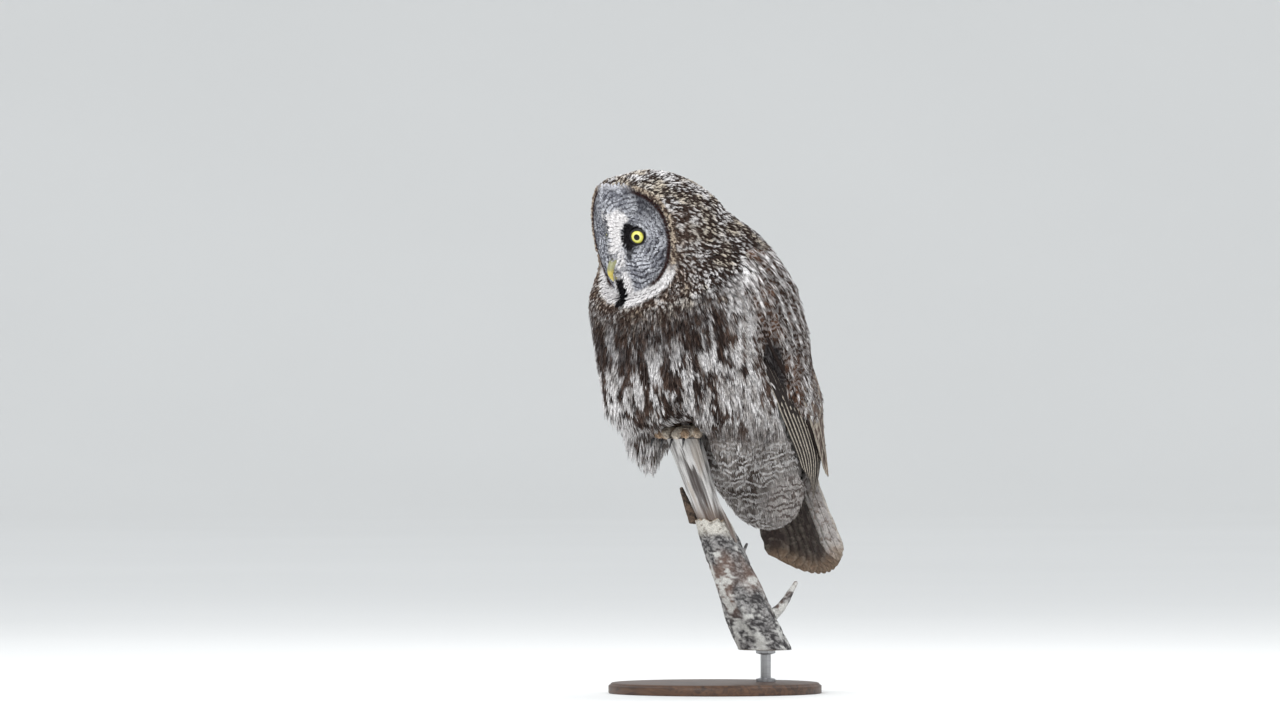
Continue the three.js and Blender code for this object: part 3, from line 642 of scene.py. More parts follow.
def lie(p, n):
    """The way the feathers point at each place, along the surface."""
    q = to_head(p)
    side = np.sign(p[:, 0])
    around = round_body(p)[:, None]
    breast, flank, back = (join(side * x, y, z) for x, y, z in (LIE_BREAST, LIE_FLANK, LIE_BACK))
    body = blend(blend(breast, flank, smooth(0.2, 1.3, around)), back, smooth(1.3, 2.2, around))
    radial = unit(q * (1, 0, 1))
    near_rim = smooth(1.45, 1.0, disc_share(q))[:, None]
    low = smooth(-30, -90, q[:, 2])[:, None]
    head = (blend(LIE_CROWN, LIE_CHEEK, low) + radial * near_rim * (1 - low) * 0.7) @ HEAD_AXES.T
    share = smooth(-50, 10, above_neck(p))[:, None]
    return flattened(blend(unit(body), unit(head), share), n)


def face_lie(p, n):
    """Feathers of the facial disc point away from the nearer eye."""
    q = to_head(p)
    side = np.where(q[:, 0] > 0, 1, -1)
    return flattened((q * (1, 0, 1) - side[:, None] * (EYE_X, 0, 0)) @ HEAD_AXES.T, n)


def toe_lie(p, n):
    """Along the toes, away from the foot's middle."""
    return flattened((p - (0, -66 * MM, 0)) * (0.5, 1, 0) + (0, 0, -6 * MM), n)


def hanging(place, normal):
    """How far a feather under the belly hangs straight down. Those in front of the toes don't."""
    clear = smooth(20, 34, np.abs((place[:, 0] + place[:, 1]) * DIAGONAL / MM + 57))
    below = smooth(0.05, 0.0, place[:, 1]) * smooth(0.5, 0.47, place[:, 2])
    return smooth(-0.05, -0.5, normal[:, 2]) * below * clear


def walk(surface, start, length, direction, steps=4):
    """Lines along the surface from each start, following the lie and hanging free over hollows."""
    place, normal = surface.nearest(start)
    swing = rng.normal(0, 0.11, len(start))[:, None]
    lines = [place]
    normals = [normal]
    for _ in range(steps):
        way = direction(place, normal)
        way = unit(way + np.cross(normal, way) * swing)
        way = unit(way + np.array([0, 0, -1.6]) * hanging(place, normal)[:, None])
        ahead = place + way * (length / steps)[:, None]
        hit, facing = surface.nearest(ahead)
        gap = ahead - hit
        drop = np.linalg.norm(gap, axis=1, keepdims=True)
        outside = np.sum(gap * normal, axis=1, keepdims=True) > 0
        free = 0.9 * outside * np.clip(drop - 0.8 * MM, 0, None) / np.maximum(drop, 1e-9)
        place = hit + gap * free
        normal = unit(blend(facing, normal, free))
        lines.append(place)
        normals.append(normal)
    return np.stack(lines, 1), np.stack(normals, 1)


# Tufts

RING_SHARES = {2: [0.0, 0.62], 3: [0.0, 0.5, 0.8]}
RING_WIDTHS = [0.7, 1.0, 0.9]


def unwrap(p):
    """The skin's own unwrap: round the trunk or head, and up it."""
    turn = np.arctan2(p[:, 0], trunk_y(p[:, 2]) - p[:, 1]) / (2 * math.pi) + 0.5
    return join(turn, (p[:, 2] - 0.2) / 0.62)


def spike_faces(rings):
    """The faces of one spike: three sides for each step, three at the tip, and the root's cap."""
    edges = ((2, 0), (1, 2), (0, 1))
    last = 3 * rings - 3
    faces = [[k + i, k + i + 3, k + j + 3, k + j] for k in range(0, last, 3) for i, j in edges]
    return faces + [[last + i, last + 3, last + j] for i, j in edges] + [[0, 1, 2]]


def tufts(name, lines, normals, spikes, rings, color, look):
    """Closed, split-ended tufts along the given lines.

    look holds width, depth and lift in millimetres, camber, fray and part, each as one value for all tufts or
    one for each.
    """
    count = len(lines)
    last = lines.shape[1] - 1
    looks = {key: (np.ones(count) * value)[:, None, None] for key, value in look.items()}
    width, depth, lift = (looks[key] * MM for key in ("width", "depth", "lift"))
    camber, fray, part = (looks[key] for key in ("camber", "fray", "part"))
    across = np.linspace(-1, 1, spikes) + rng.uniform(-0.7, 0.7, (count, spikes)) / spikes
    reach = 1 - 0.30 * np.abs(across) ** 2.2 - fray[:, :, 0] * rng.random((count, spikes))
    v = np.clip(reach[:, :, None] * np.array(RING_SHARES[rings] + [1.0]), 0, 1)
    cell = np.minimum((v * last).astype(int), last - 1)
    f = (v * last - cell)[..., None]
    row = np.arange(count)[:, None, None]
    centre = blend(lines[row, cell], lines[row, cell + 1], f)
    normal = unit(blend(normals[row, cell], normals[row, cell + 1], f))
    sideways = unit(np.cross(unit(lines[row, cell + 1] - lines[row, cell]), normal))

    a = across[:, :, None]
    jitter = rng.normal(0, 1, (count, spikes, 1))
    bend = rng.normal(0, 1, (count, spikes, 1)) * fray * 0.4
    spread = 0.3 + 0.7 * smooth(0, 0.6, v) + part * v ** 2
    offset = width / 2 * (a * spread + bend * v ** 2)
    sag = camber * width * a ** 2 * (0.4 + 0.6 * v)
    height = lift * v ** 2 - depth * (1 - v) ** 1.3 - sag + jitter * 0.35 * MM
    middle = centre + sideways * offset[..., None] + normal * height[..., None]
    thick = np.array(RING_WIDTHS[:rings]) * (0.85 + 0.15 * np.abs(jitter))
    half = (width / spikes * thick)[..., None]
    rise = np.minimum(half, 1.2 * MM) * 0.8
    body, cross, up = middle[:, :, :-1], sideways[:, :, :-1], normal[:, :, :-1]
    ring = np.stack([body - cross * half, body + cross * half, body + up * rise], 3)
    points = np.concatenate([ring.reshape(count, spikes, -1, 3), middle[:, :, -1:]], 2)
    along = np.concatenate([np.repeat(v[:, :, :-1], 3, axis=2), v[:, :, -1:]], 2)

    faces = spike_faces(rings)
    flat = np.concatenate(faces)
    loops = ((np.arange(count * spikes) * points.shape[2])[:, None] + flat).ravel()
    thing = fast_object(name, points.reshape(-1, 3), loops, np.tile([len(f) for f in faces], count * spikes))
    colors, marks = color(points, lines[:, -1][:, None, None, :], a, along, jitter)
    paint(thing, np.broadcast_to(colors, points.shape).reshape(-1, 3))
    paint(thing, np.broadcast_to(marks, points.shape).reshape(-1, 3), "Marks")

    spot = unwrap(lines[:, 0])
    spot = 0.01 + 0.98 * (spot - spot.min(0)) / np.maximum(np.ptp(spot, axis=0), 1e-6)
    side = np.append(np.tile([-0.5, 0.5, 0.0], rings), 0.0)[flat]
    nudge = np.append(np.zeros(len(flat) - 1), 0.15)
    patch_x = np.clip(a, -1.2, 1.2) * 0.4 + side * 0.8 / spikes
    patch_y = along[:, :, flat] + nudge - 0.5
    store_uv(thing, "OFBake", spot[:, None, None, :] + BAKE_PATCH * join(patch_x, patch_y))
    return thing


# Markings. Each takes places, the tufts' tips, the place across the tuft from -1 to 1, the place along it
# from 0 to 1 and a number for each spike, and gives colours and marks.

def coat_places(p):
    """Places as seen by the markings: along X, across the lie, and along it."""
    tilt = np.interp(round_body(p), [0.2, 1.3, 2.2], [0.08, 0.37, 0.6])
    c, s = np.cos(tilt), np.sin(tilt)
    x, y, z = parts(p) / MM
    return join(x, y * c + z * s, y * s - z * c)


def body_color(p, tip, a, v, jitter):
    """Dark columns and blotches on pale, a dark collar, a pale far edge, a barred grey vent and painted shade
    at the roots.
    """
    w = coat_places(p)
    x, y, z = parts(p) / MM
    around = round_body(p)
    drifted = w + noise(w, 30, 7)[..., None] * (16, 16, 0)
    column = noise(drifted, (19, 19, 110), 1)
    spot = noise(drifted, (10, 10, 20), 2)
    feather = noise(coat_places(tip), (8, 8, 13), 8)
    fine = noise(w, (3.6, 3.6, 8), 3)
    hair = noise(w, (1.8, 1.8, 15), 6)
    shaft = bell(a / 0.45) * smooth(0.35, 0.9, v)
    value = 0.26 * column + 0.24 * spot + 0.22 * feather + 0.18 * fine + 0.10 * hair
    value = value + 0.05 * shaft + 0.012 * jitter

    reach = np.where(x > 0, smooth(1.2, 0.7, around + 0.5 * (spot - 0.5)), smooth(2.0, 1.2, around))
    collar = smooth(-120, -66, above_neck(p) + 70 * (column - 0.5) + 30 * (spot - 0.5)) * reach
    flank = smooth(0.75, 1.25, around) * (1 - collar)
    low = smooth(415, 360, z + 40 * (column - 0.5))
    behind = smooth(1.75, 2.1, around) * (1 - low)
    from_edge = (x + y) * DIAGONAL + 143 - 0.79 * (436 - z)
    fluff = smooth(10, -16, from_edge + 40 * (feather - 0.5)) * smooth(550, 470, z)
    fluff = fluff * smooth(1.4, 1.05, around)
    limit = 0.505 - 0.095 * collar + 0.075 * flank - 0.05 * behind + 0.055 * fluff
    dark = smooth(limit - 0.03, limit + 0.03, value)

    pale = mix(PALE, WHITE * 1.1, smooth(0.30, 0.60, noise(w, (9, 9, 22), 4)))
    pale = mix(pale, GREY, np.clip(0.55 * collar + 0.35 * smooth(0.45, 0.7, hair) * (1 - fluff), 0, 1))
    pale = mix(pale, WHITE * 1.12, 0.8 * fluff)
    # Painted shade: the pale darkens towards each tuft's root, where the tufts lying over it would shade it.
    # The white fluff keeps less of it.
    pale = pale * (0.70 + 0.30 * np.maximum(smooth(0.2, 0.75, v), fluff))[..., None]
    deep = mix(BROWN, DARK, smooth(0.3, 0.65, fine))
    deep = mix(deep, BROWN * 1.7, 0.5 * smooth(0.45, 0.75, noise(w, 30, 5)) * (1 - collar))
    streak = smooth(0.50, 0.72, noise(w, (3.2, 3.2, 26), 10)) * collar * smooth(0.3, 0.8, v)
    color = mix(mix(pale, deep, dark), GREY, 0.5 * streak)

    vent = mix(VENT_DARK, VENT_PALE, smooth(0.32, 0.68, 0.5 * spot + 0.5 * feather))
    clump = smooth(20, 40, x) * smooth(345, 318, z + 12 * (spot - 0.5)) * smooth(50, 75, y)
    # The vent's pale clump, then painted shade that darkens each tuft towards its root.
    vent = mix(vent, PALE * 1.2, clump) * (0.62 + 0.38 * smooth(0.25, 0.8, v))[..., None]
    low = low * (1 - fluff)
    bars = 0.9 * low + 0.25 * flank * (1 - dark) * (1 - low)
    return mix(color, vent, low), join(bars, noise(tip / MM, 19, 9), low * (1 - clump))


def ruff_color(q):
    return mix(BROWN, mix(TAN, CREAM, 0.6), smooth(0.42, 0.6, noise(q, 2.6, 14)))


def head_color(p, tip, a, v, jitter):
    """Pale drops on dark brown, the ruff round the disc, the white bow and the black chin."""
    q = to_head(p)
    x, y, z = parts(q)
    w = join(x, 0.66 * y + 0.75 * z, 0.75 * y - 0.66 * z)
    x_size = np.abs(x)
    behind = behind_rim(q)
    angle = np.degrees(np.arctan2(z, x_size))
    dashes = noise(w, (3.1, 3.1, 5.2), 11)
    clumps = noise(w, 13, 12)
    tips = bell(a / 0.55) * smooth(0.55, 0.8, v) * smooth(1.02, 0.93, v)
    value = 0.66 * dashes + 0.16 * clumps + 0.18 * tips + 0.02 * jitter + 0.045 * smooth(20, 75, z)
    pale = mix(CREAM * 0.95, WHITE, smooth(0.30, 0.60, noise(w, 18, 13)))
    side = smooth(90, 25, behind) * smooth(60, 10, z)
    pale = mix(pale, mix(TAN, PALE, smooth(0.25, 0.65, clumps)), 0.65 * side)
    color = mix(mix(DARK, BROWN, 0.25 + 0.5 * side), pale, smooth(0.495, 0.565, value))
    top = smooth(25, 50, x_size) + smooth(0, -10, z)
    ruff = smooth(8, 4.5, behind + 3 * (clumps - 0.5)) * np.clip(top, 0.25, 1)
    color = mix(color, ruff_color(q), ruff)
    thick = np.where(x > 0, 13, 7)
    bow = smooth(-24, -38, angle) * smooth(2.5, -2.5, behind - thick + 5 * (dashes - 0.5))
    color = mix(color, WHITE * 1.15, bow)
    chin = smooth(11, 8.5, x_size) * smooth(-52, -62, z) * smooth(15, 10, behind)
    return mix(color, BLACK, chin), join(0.0, 0.5, 0.0)


def face_color(p, tip, a, v, jitter):
    """Ringed grey, white crescents, black by the eyes, white lores, a dark rim, a ruff, a bow and a chin."""
    q = to_head(p)
    x, z = np.abs(q[..., 0]), q[..., 2]
    share = disc_share(q)
    angle = np.degrees(np.arctan2(z, x))
    away = from_eye(x, z)
    fine = noise(q, 2.4, 21)
    cloud = noise(q, 13, 22)
    color = mix(DISC_DARK, DISC_PALE, smooth(0.3, 0.68, 0.5 * fine + 0.5 * cloud))
    dusk = smooth(0, 45, z) * smooth(18, 60, x)
    dusk = (1 - 0.5 * dusk) * (1 - 0.25 * smooth(0.7, 0.9, share) * smooth(20, 45, x))
    color = color * dusk[..., None]
    rings = smooth(14.5, 18, away) * smooth(1.0, 0.9, share)

    patch = np.hypot((x - 24.5) / 10.5, (z - 0.25 * (x - 24)) / 20.5)
    ray = noise(join(np.arctan2(z, EYE_X - x) * 14, away * 0.12, 0), 1, 23)
    reach = 17 + 15 * smooth(6, 30, z) + 6 * (fine - 0.5)
    white = smooth(0.95, 1.1, patch) * smooth(reach + 2, reach - 2, x) * smooth(1.0, 3.0, x)
    white = white * smooth(46, 36, z + 12 * (fine - 0.5) + 0.035 * (x - 14) ** 2)
    white = white * smooth(-22, -8, z + 8 * (ray - 0.5))
    lores = smooth(24, 14, x + 4 * (ray - 0.5)) * smooth(0, -12, z) * smooth(-70, -56, z)
    lores = lores * smooth(0.95, 1.15, patch)
    white = np.maximum(white, lores * (0.35 + 0.65 * smooth(0.40, 0.58, ray)))
    color = mix(color, WHITE * 1.2, white)
    crease = smooth(3.0, 1.4, x) * smooth(-2, 6, z) * smooth(46, 34, z)
    color = mix(color, DISC_CREASE, crease * 0.6)
    color = mix(color, BLACK, smooth(1.08, 0.92, patch))
    below = np.hypot((x - 25) / 4, (z + 24) / 13)
    color = mix(color, BLACK * 2, 0.85 * smooth(1.15, 0.8, below))
    color = mix(color, BLACK, smooth(16.5, 14, away + 2 * (fine - 0.5)))

    bow = smooth(-26, -40, angle) * smooth(0.91, 0.945, share)
    bow = np.maximum(bow, smooth(24, 17, x) * smooth(-56, -64, z))
    top = np.clip(smooth(25, 50, x) + smooth(0, -10, z), 0.15, 1)
    rim = smooth(0.885, 0.91, share) * smooth(0.975, 0.95, share) * top
    ruff = smooth(0.95, 0.975, share) * top
    color = mix(color, ruff_color(q), ruff)
    color = mix(color, WHITE * 1.15, bow)
    color = mix(color, DISC_RIM, rim * smooth(-66, -54, angle))
    chin = smooth(10.5, 8, x) * smooth(-58, -64, z)
    color = mix(color, BLACK, chin)
    marks = rings * (1 - white) * (1 - chin) * (1 - rim) * (1 - bow) * (1 - ruff) * smooth(1.0, 1.15, patch)
    marks = marks * (0.8 + 0.2 * smooth(14, -20, z + 0.4 * (EYE_X - x)))
    return color, join(marks, 0.5 + 0.15 * np.tanh(jitter), 0.0)


def covert_color(p, tip, a, v, jitter):
    """Pale specks on dark, a pale shoulder, a brown band and near-black painted shadow in the hollow at the
    bend of the wing.
    """
    w = coat_places(p)
    z = p[..., 2] / MM
    around = round_body(p)
    big = noise(w, (17, 17, 90), 31)
    feather = noise(coat_places(tip), (8, 8, 12), 35)
    spot = noise(w, (5.5, 5.5, 10), 32)
    fine = noise(w, (2.4, 2.4, 5), 33)
    edge = smooth(0.5, 0.95, np.abs(a)) * smooth(0.4, 0.9, v)
    shoulder = smooth(1.75, 1.35, around + 0.5 * (feather - 0.5)) * smooth(530, 600, z)
    band = bell((around - 1.72 - 0.35 * (big - 0.5)) / 0.17) * smooth(360, 420, z)
    value = 0.22 * big + 0.18 * feather + 0.30 * spot + 0.30 * fine + 0.06 * edge + 0.015 * jitter
    limit = 0.528 - 0.035 * shoulder + 0.05 * band
    light = smooth(limit, limit + 0.04, value)
    color = mix(mix(DARK, BROWN, fine), mix(PALE, WHITE * 1.1, smooth(0.4, 0.6, big)), light)
    red = smooth(0.35, 0.6, noise(w, 22, 34)) * (0.15 + 0.85 * band) * (1 - light)
    color = mix(color, mix(RUFOUS, BROWN, 0.45), 0.8 * red)
    # Painted shadow: the hollow between the bend of the wing and the flank is painted near black, and its bars
    # fade there.
    bend = bell((around - 1.50) / 0.11) * smooth(445, 465, z) * smooth(545, 510, z)
    color = mix(color, BLACK * 1.5, 0.9 * smooth(0.3, 0.6, bend + 0.5 * (spot - 0.5)))
    return color, join(0.3 * (1 - bend), feather, 1 - light)


def neck_color(p, tip, a, v, jitter):
    """The head's drops run out into the body's streaks."""
    head, _ = head_color(p, tip, a, v, jitter)
    body, marks = body_color(p, tip, a, v, jitter)
    share = smooth(-45, -5, above_neck(p) + 10 * (noise(p / MM, 12, 41) - 0.5))
    return mix(body, head, share), marks * (1 - share)[..., None]


def skin_color(p):
    q = to_head(p)
    a = np.zeros(len(p))
    v = np.full(len(p), 0.55)
    color, _ = neck_color(p, p, a, v, a)
    face, _ = face_color(p, p, a, v, a)
    front = smooth(1.02, 0.98, disc_share(q)) * smooth(100, 80, q[:, 1]) * (above_neck(p) > 0)
    return mix(color, face, front)


def foot_color(p):
    color = mix(CREAM * 0.95, TAN * 1.05, smooth(0.35, 0.7, noise(p / MM, 14, 51)))
    return mix(color, BROWN * 1.8, 0.7 * smooth(0.66, 0.82, noise(p / MM, 5, 52)))


def fuzz_color(p, tip, a, v, jitter):
    # Painted shade: the foot's feathers darken towards their roots.
    return foot_color(p) * (0.75 + 0.25 * v)[..., None], join(0.0, 0.5, 0.0)


# Coat

def near_nodes(points, names, reach):
    """Which points lie nearer than reach, in millimetres, to any of the named nodes."""
    close = np.zeros(len(points), bool)
    for name in names:
        tree = tree_of(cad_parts[name].data)
        close |= np.array([tree.find_nearest(point, reach * MM)[0] is not None for point in points.tolist()])
    return close


def coat_zones(p, n):
    """The zone of each root."""
    q = to_head(p)
    up = above_neck(p)
    z = p[:, 2] / MM
    ahead = (n @ HEAD_AXES)[:, 1] < 0.1
    zone = np.full(len(p), BREAST)
    zone[z < 475] = BELLY
    zone[z < 392] = VENT
    zone[(round_body(p) > 1.95) & (z > 392)] = BACK
    zone[up > -62] = NECK
    zone[up > 0] = HEAD
    zone[(up > 0) & (disc_share(q) < 0.985) & ahead & (q[:, 1] < DISC_DEEP)] = FACE
    wing = near_nodes(p, WINGS, 3.5)
    zone[wing] = COVERTS
    hidden = near_nodes(p, PRIMARIES, 5) | near_nodes(p, ["foot_left", "foot_right", "perch_wood"], 3)
    zone[hidden & ~wing] = NOWHERE
    zone[wing & (z < 505) & near_nodes(p, PRIMARIES, 2.5)] = NOWHERE
    zone[near_nodes(p, ["tail"], 2)] = NOWHERE
    features = near_nodes(p, ["eye_left", "eye_right", "bill_upper", "bill_lower"], 1)
    zone[(zone == FACE) & features] = NOWHERE
    return zone


def spacing_of(zone, p):
    spacing = np.full(len(p), SPACING[zone])
    if zone == NECK:
        spacing = blend(spacing, NECK_TOP_SPACING, smooth(-60, 0, above_neck(p)))
    return spacing * MM


LOOK = dict(width=16, depth=8, lift=2, camber=0.10, fray=0.40, part=0.15)


def make_coat(form, plumage, face_plumage):
    """Grows the tufts zone by zone."""
    points = form.scatter(BODY_POINTS)
    extra = form.scatter(FACE_POINTS)
    q = to_head(extra)
    face = (disc_share(q) < 1.0) & (q[:, 1] < DISC_DEEP) & (above_neck(extra) > 0)
    places, normals = form.nearest(np.concatenate([points, extra[face]]))
    zone = coat_zones(places, normals)
    roots = []
    for number in range(len(SPACING)):
        mine = places[zone == number]
        roots.append(thin_out(mine, spacing_of(number, mine)))

    def grow(name, p, length, spikes, rings, color, direction=lie, slot="plumage", material=plumage, **look):
        """Tufts of one set. length and look are in millimetres."""
        lines, facing = walk(form, p, np.ones(len(p)) * length * MM, direction)
        finish(tufts(name, lines, facing, spikes, rings, color, {**LOOK, **look}), material, slot)

    p = roots[FACE]
    q = to_head(p)
    bill = (np.abs(q[:, 0]) < 4.5) & (q[:, 2] < -52) & (q[:, 2] > -66)
    p = p[(from_eye(q[:, 0], q[:, 2]) > 13.2) & ~bill]
    q = to_head(p)
    x, z = np.abs(q[:, 0]), q[:, 2]
    size = np.interp(from_eye(x, z), [12, 30], [0.6, 1.0])
    ridge = smooth(15, 4, x) * smooth(-52, -30, z) * smooth(62, 40, z)
    chin = smooth(30, 12, x) * smooth(-54, -70, z)
    lores = smooth(16, 10, x) * smooth(-30, -38, z) * (1 - chin)
    grow("face_feathers", p, 9 * size + 3 * ridge, 5, 3, face_color, face_lie, "face_plumage", face_plumage,
         width=4.6 * size, depth=2.2, lift=0.6 + 8.2 * ridge + 5 * np.maximum(chin, lores), camber=0.05,
         fray=0.28, part=0.1)

    p = roots[HEAD]
    front = to_head(p)[:, 1] < 95
    for label, part in (("front", front), ("back", ~front)):
        grow("head_feathers_" + label, p[part], 14, 6, 3, head_color,
             width=7.4, depth=4.5, lift=0.8, camber=0.08, fray=0.3, part=0.1)

    p = roots[NECK]
    share = smooth(-60, 0, above_neck(p))
    grow("neck_feathers", p, blend(36, 16, share), 11, 2, neck_color,
         width=blend(16, 8.5, share), depth=blend(9, 5, share), lift=1.5, fray=0.35)

    grow("breast_feathers", roots[BREAST], 36, 12, 3, body_color)
    p = roots[BELLY]
    loose = smooth(-0.020, -0.070, p[:, 0]) * smooth(0.49, 0.45, p[:, 2])
    grow("belly_feathers", p, 38 + 12 * loose, 11, 3, body_color,
         lift=2 + 8 * loose, fray=0.42 + 0.2 * loose, part=0.15 + 0.25 * loose)
    p = roots[VENT]
    leg = (p[:, 1] < 0.0) & (p[:, 0] < 0)
    grow("vent_feathers", p[~leg], 31, 11, 2, body_color, lift=2.5, fray=0.34)
    grow("leg_feathers", p[leg], 36, 9, 3, body_color, width=12, depth=6, lift=7, fray=0.65, part=0.45)
    grow("back_feathers", roots[BACK], 30, 9, 2, covert_color, width=15, depth=7, lift=1.0, fray=0.28)

    p = roots[COVERTS]
    edge = 425 - 25 * smooth(2.2, 2.7, round_body(p)) + 12 * (noise(p / MM, 9, 36) - 0.5)
    for side, sign in SIDES.items():
        mine = p[(np.sign(p[:, 0]) == sign) & (p[:, 2] / MM > edge)]
        low = smooth(0.50, 0.44, mine[:, 2]) + smooth(0.45, 0.75, noise(mine / MM, 11, 37))
        grow("covert_feathers_" + side, mine, 30, 10, 2, covert_color, slot="flight_feather",
             width=14.5, depth=3.0, lift=0.6 + 2.6 * low, fray=0.26, part=0.08)


# Wings and tail

class Wing:
    """The outer face of a wing's solid as a grid: rows down it, columns from its front to its back edge."""

    def __init__(self, name, side, columns, rows=30):
        tree = tree_of(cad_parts[name].data)
        low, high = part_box(name)
        self.heights = np.linspace(high[2] - 6 * MM, low[2] + 5 * MM, rows)
        grid = []
        for z in self.heights:
            middle = Vector((0, trunk_y(z), z))
            hits = []
            for turn in np.radians(np.arange(70, 176, 0.5)):
                way = Vector((side * math.sin(turn), -math.cos(turn), 0))
                hit = tree.ray_cast(middle + way * 0.5, -way)[0]
                if hit is not None:
                    hits.append(np.array(hit))
            hits = np.array(hits)
            spot = np.linspace(0, len(hits) - 1, columns)
            base = np.minimum(spot.astype(int), len(hits) - 2)
            grid.append(blend(hits[base], hits[base + 1], (spot - base)[:, None]))
        grid = np.array(grid)
        for _ in range(3):
            grid[1:-1] = (grid[:-2] + grid[1:-1] * 2 + grid[2:]) / 4
        self.grid = grid

    def at(self, z, v):
        """Places for heights z and shares v from the front edge, 0, to the back edge, 1."""
        rows, columns = self.grid.shape[:2]
        r = np.interp(-z, -self.heights, np.arange(rows))
        c = np.clip(v, 0, 1) * (columns - 1)
        i, j = np.minimum(r.astype(int), rows - 2), np.minimum(c.astype(int), columns - 2)
        f, g = (r - i)[:, None], (c - j)[:, None]
        top = blend(self.grid[i, j], self.grid[i, j + 1], g)
        bottom = blend(self.grid[i + 1, j], self.grid[i + 1, j + 1], g)
        return blend(top, bottom, f)

    def feather(self, side, z, v, out):
        """A centre line from (z[0], v[0]) to (z[1], v[1]), rooted in the wing and lifted out from it."""
        t = np.linspace(0, 1, 15)
        heights = blend(z[0], z[1], t)
        shares = blend(v[0], v[1], t)
        line = self.at(heights, shares)
        across = self.at(heights, shares + 0.04) - self.at(heights, shares - 0.04)
        normal = unit(np.cross(unit(np.gradient(line, axis=0)), unit(across)) * side)
        rise = out * smooth(0, 0.5, t) - 3 * (1 - smooth(0, 0.35, t))
        return line + normal * rise[:, None] * MM, normal


def vane_profile(t, blunt):
    """Half width along a feather, from 0 to 1."""
    tip = np.clip((t - 1 + blunt) / blunt, 0, 1)
    return smooth(-0.15, 0.18, t) * np.clip(1 - tip ** 2.6, 0.02, 1) ** 0.6


def grid_quads(index):
    quads = np.stack([index[:-1, :-1], index[:-1, 1:], index[1:, 1:], index[1:, :-1]], 2)
    return quads.reshape(-1, 4, *index.shape[2:])


def vanes(name, feathers, columns=7):
    """Closed thin feathers. Each is a dict of line, normal, half, blunt, thick, camber, color and marks."""
    places, loops, colors, marks, vane_uv, bake_uv = [], [], [], [], [], []
    start = 0
    side_cells = math.ceil(math.sqrt(len(feathers) * 2))
    u = np.linspace(-1, 1, columns)
    for number, feather in enumerate(feathers):
        line, normal = feather["line"], feather["normal"]
        rows = len(line)
        t = np.linspace(0, 1, rows)
        across = unit(np.cross(np.gradient(line, axis=0), normal))
        half = feather["half"] * MM * vane_profile(t, feather["blunt"])
        ragged = 1 + 0.05 * rng.normal(0, 1, (rows, columns)) * (np.abs(u) > 0.99)
        reach = half[:, None] * u * ragged
        sag = feather["camber"] * half[:, None] * u ** 2
        top = line[:, None] + across[:, None] * reach[..., None] - normal[:, None] * sag[..., None]
        under = top - normal[:, None] * (feather["thick"] * MM * (1 - 0.6 * t))[:, None, None]
        inside = np.zeros((rows, columns), bool)
        inside[1:-1, 1:-1] = True
        index_top = np.arange(rows * columns).reshape(rows, columns)
        index_under = index_top.copy()
        index_under[inside] = rows * columns + np.arange(inside.sum())
        places.append(np.concatenate([top.reshape(-1, 3), under[inside]]))
        grid_uv = np.stack(np.meshgrid((u + 1) / 2, t), -1)
        for face, index in enumerate((index_top, index_under)):
            turn = 1 if face else -1
            corner = grid_quads(grid_uv)[:, ::turn].reshape(-1, 2)
            loops.append((grid_quads(index)[:, ::turn] + start).ravel())
            vane_uv.append(corner)
            cell = number * 2 + face
            home = np.array([cell % side_cells, cell // side_cells])
            bake_uv.append((home + 0.04 + corner * 0.92) / side_cells)
        both = np.concatenate([grid_uv.reshape(-1, 2), grid_uv[inside]])
        colors.append(feather["color"](both[:, 1]))
        marks.append(np.broadcast_to(feather["marks"], (len(both), 3)))
        start += len(both)
    loops = np.concatenate(loops)
    thing = fast_object(name, np.concatenate(places), loops, np.full(len(loops) // 4, 4))
    paint(thing, np.concatenate(colors))
    paint(thing, np.concatenate(marks), "Marks")
    store_uv(thing, "OFBake", np.concatenate(bake_uv))
    store_uv(thing, "Vane", np.concatenate(vane_uv))
    return thing


def shaded(base, tip, rank):
    """A feather colour that turns to the tip's colour, with a shade of its own."""
    shade = 0.85 + 0.3 * lattice(np.array([[rank, 3, 5]]), 9)[0]
    return lambda along: mix(base * shade, tip, smooth(0.88, 1.0, along))


# Groups of feathers of a wing: the solid they lie on, how many, the root's height, and as pairs for the first
# feather and the change to the last: the tip's height, the root's and the tip's share of the width, the lift.
# Then half width, bluntness, thickness, camber, colour, tip's colour, rank, and marks for bars and pale edge.
FEATHERS = (
    ("primaries_", 9, 0.50, (0.330, -0.050), (0.02, 0.80), (0.06, 0.84), (1.0, 3.0),
     6.5, 0.22, 0.7, 0.04, DARK * 0.7, DARK * 1.6, 0, (0.0, 1.0)),
    ("wing_", 3, 0.47, (0.340, -0.018), (0.15, 0.25), (0.3, 0.5), (1.0, 1.0),
     15, 0.34, 1.0, 0.25, BROWN * 1.1, TAN * 0.55, 10, (0.7, 0.6)),
    ("wing_", 8, 0.50, (0.325, 0.060), (0.13, 0.55), (0.28, 0.54), (1.5, 2.5),
     14, 0.16, 1.0, 0.10, BROWN * 1.2, TAN * 0.7, 20, (0.65, 0.6)),
    ("wing_", 5, 0.52, (0.385, 0.055), (0.62, 0.26), (0.66, 0.28), (3.0, 2.0),
     15, 0.2, 1.1, 0.12, BROWN, WHITE * 0.8, 30, (0.6, 1.0)),
)


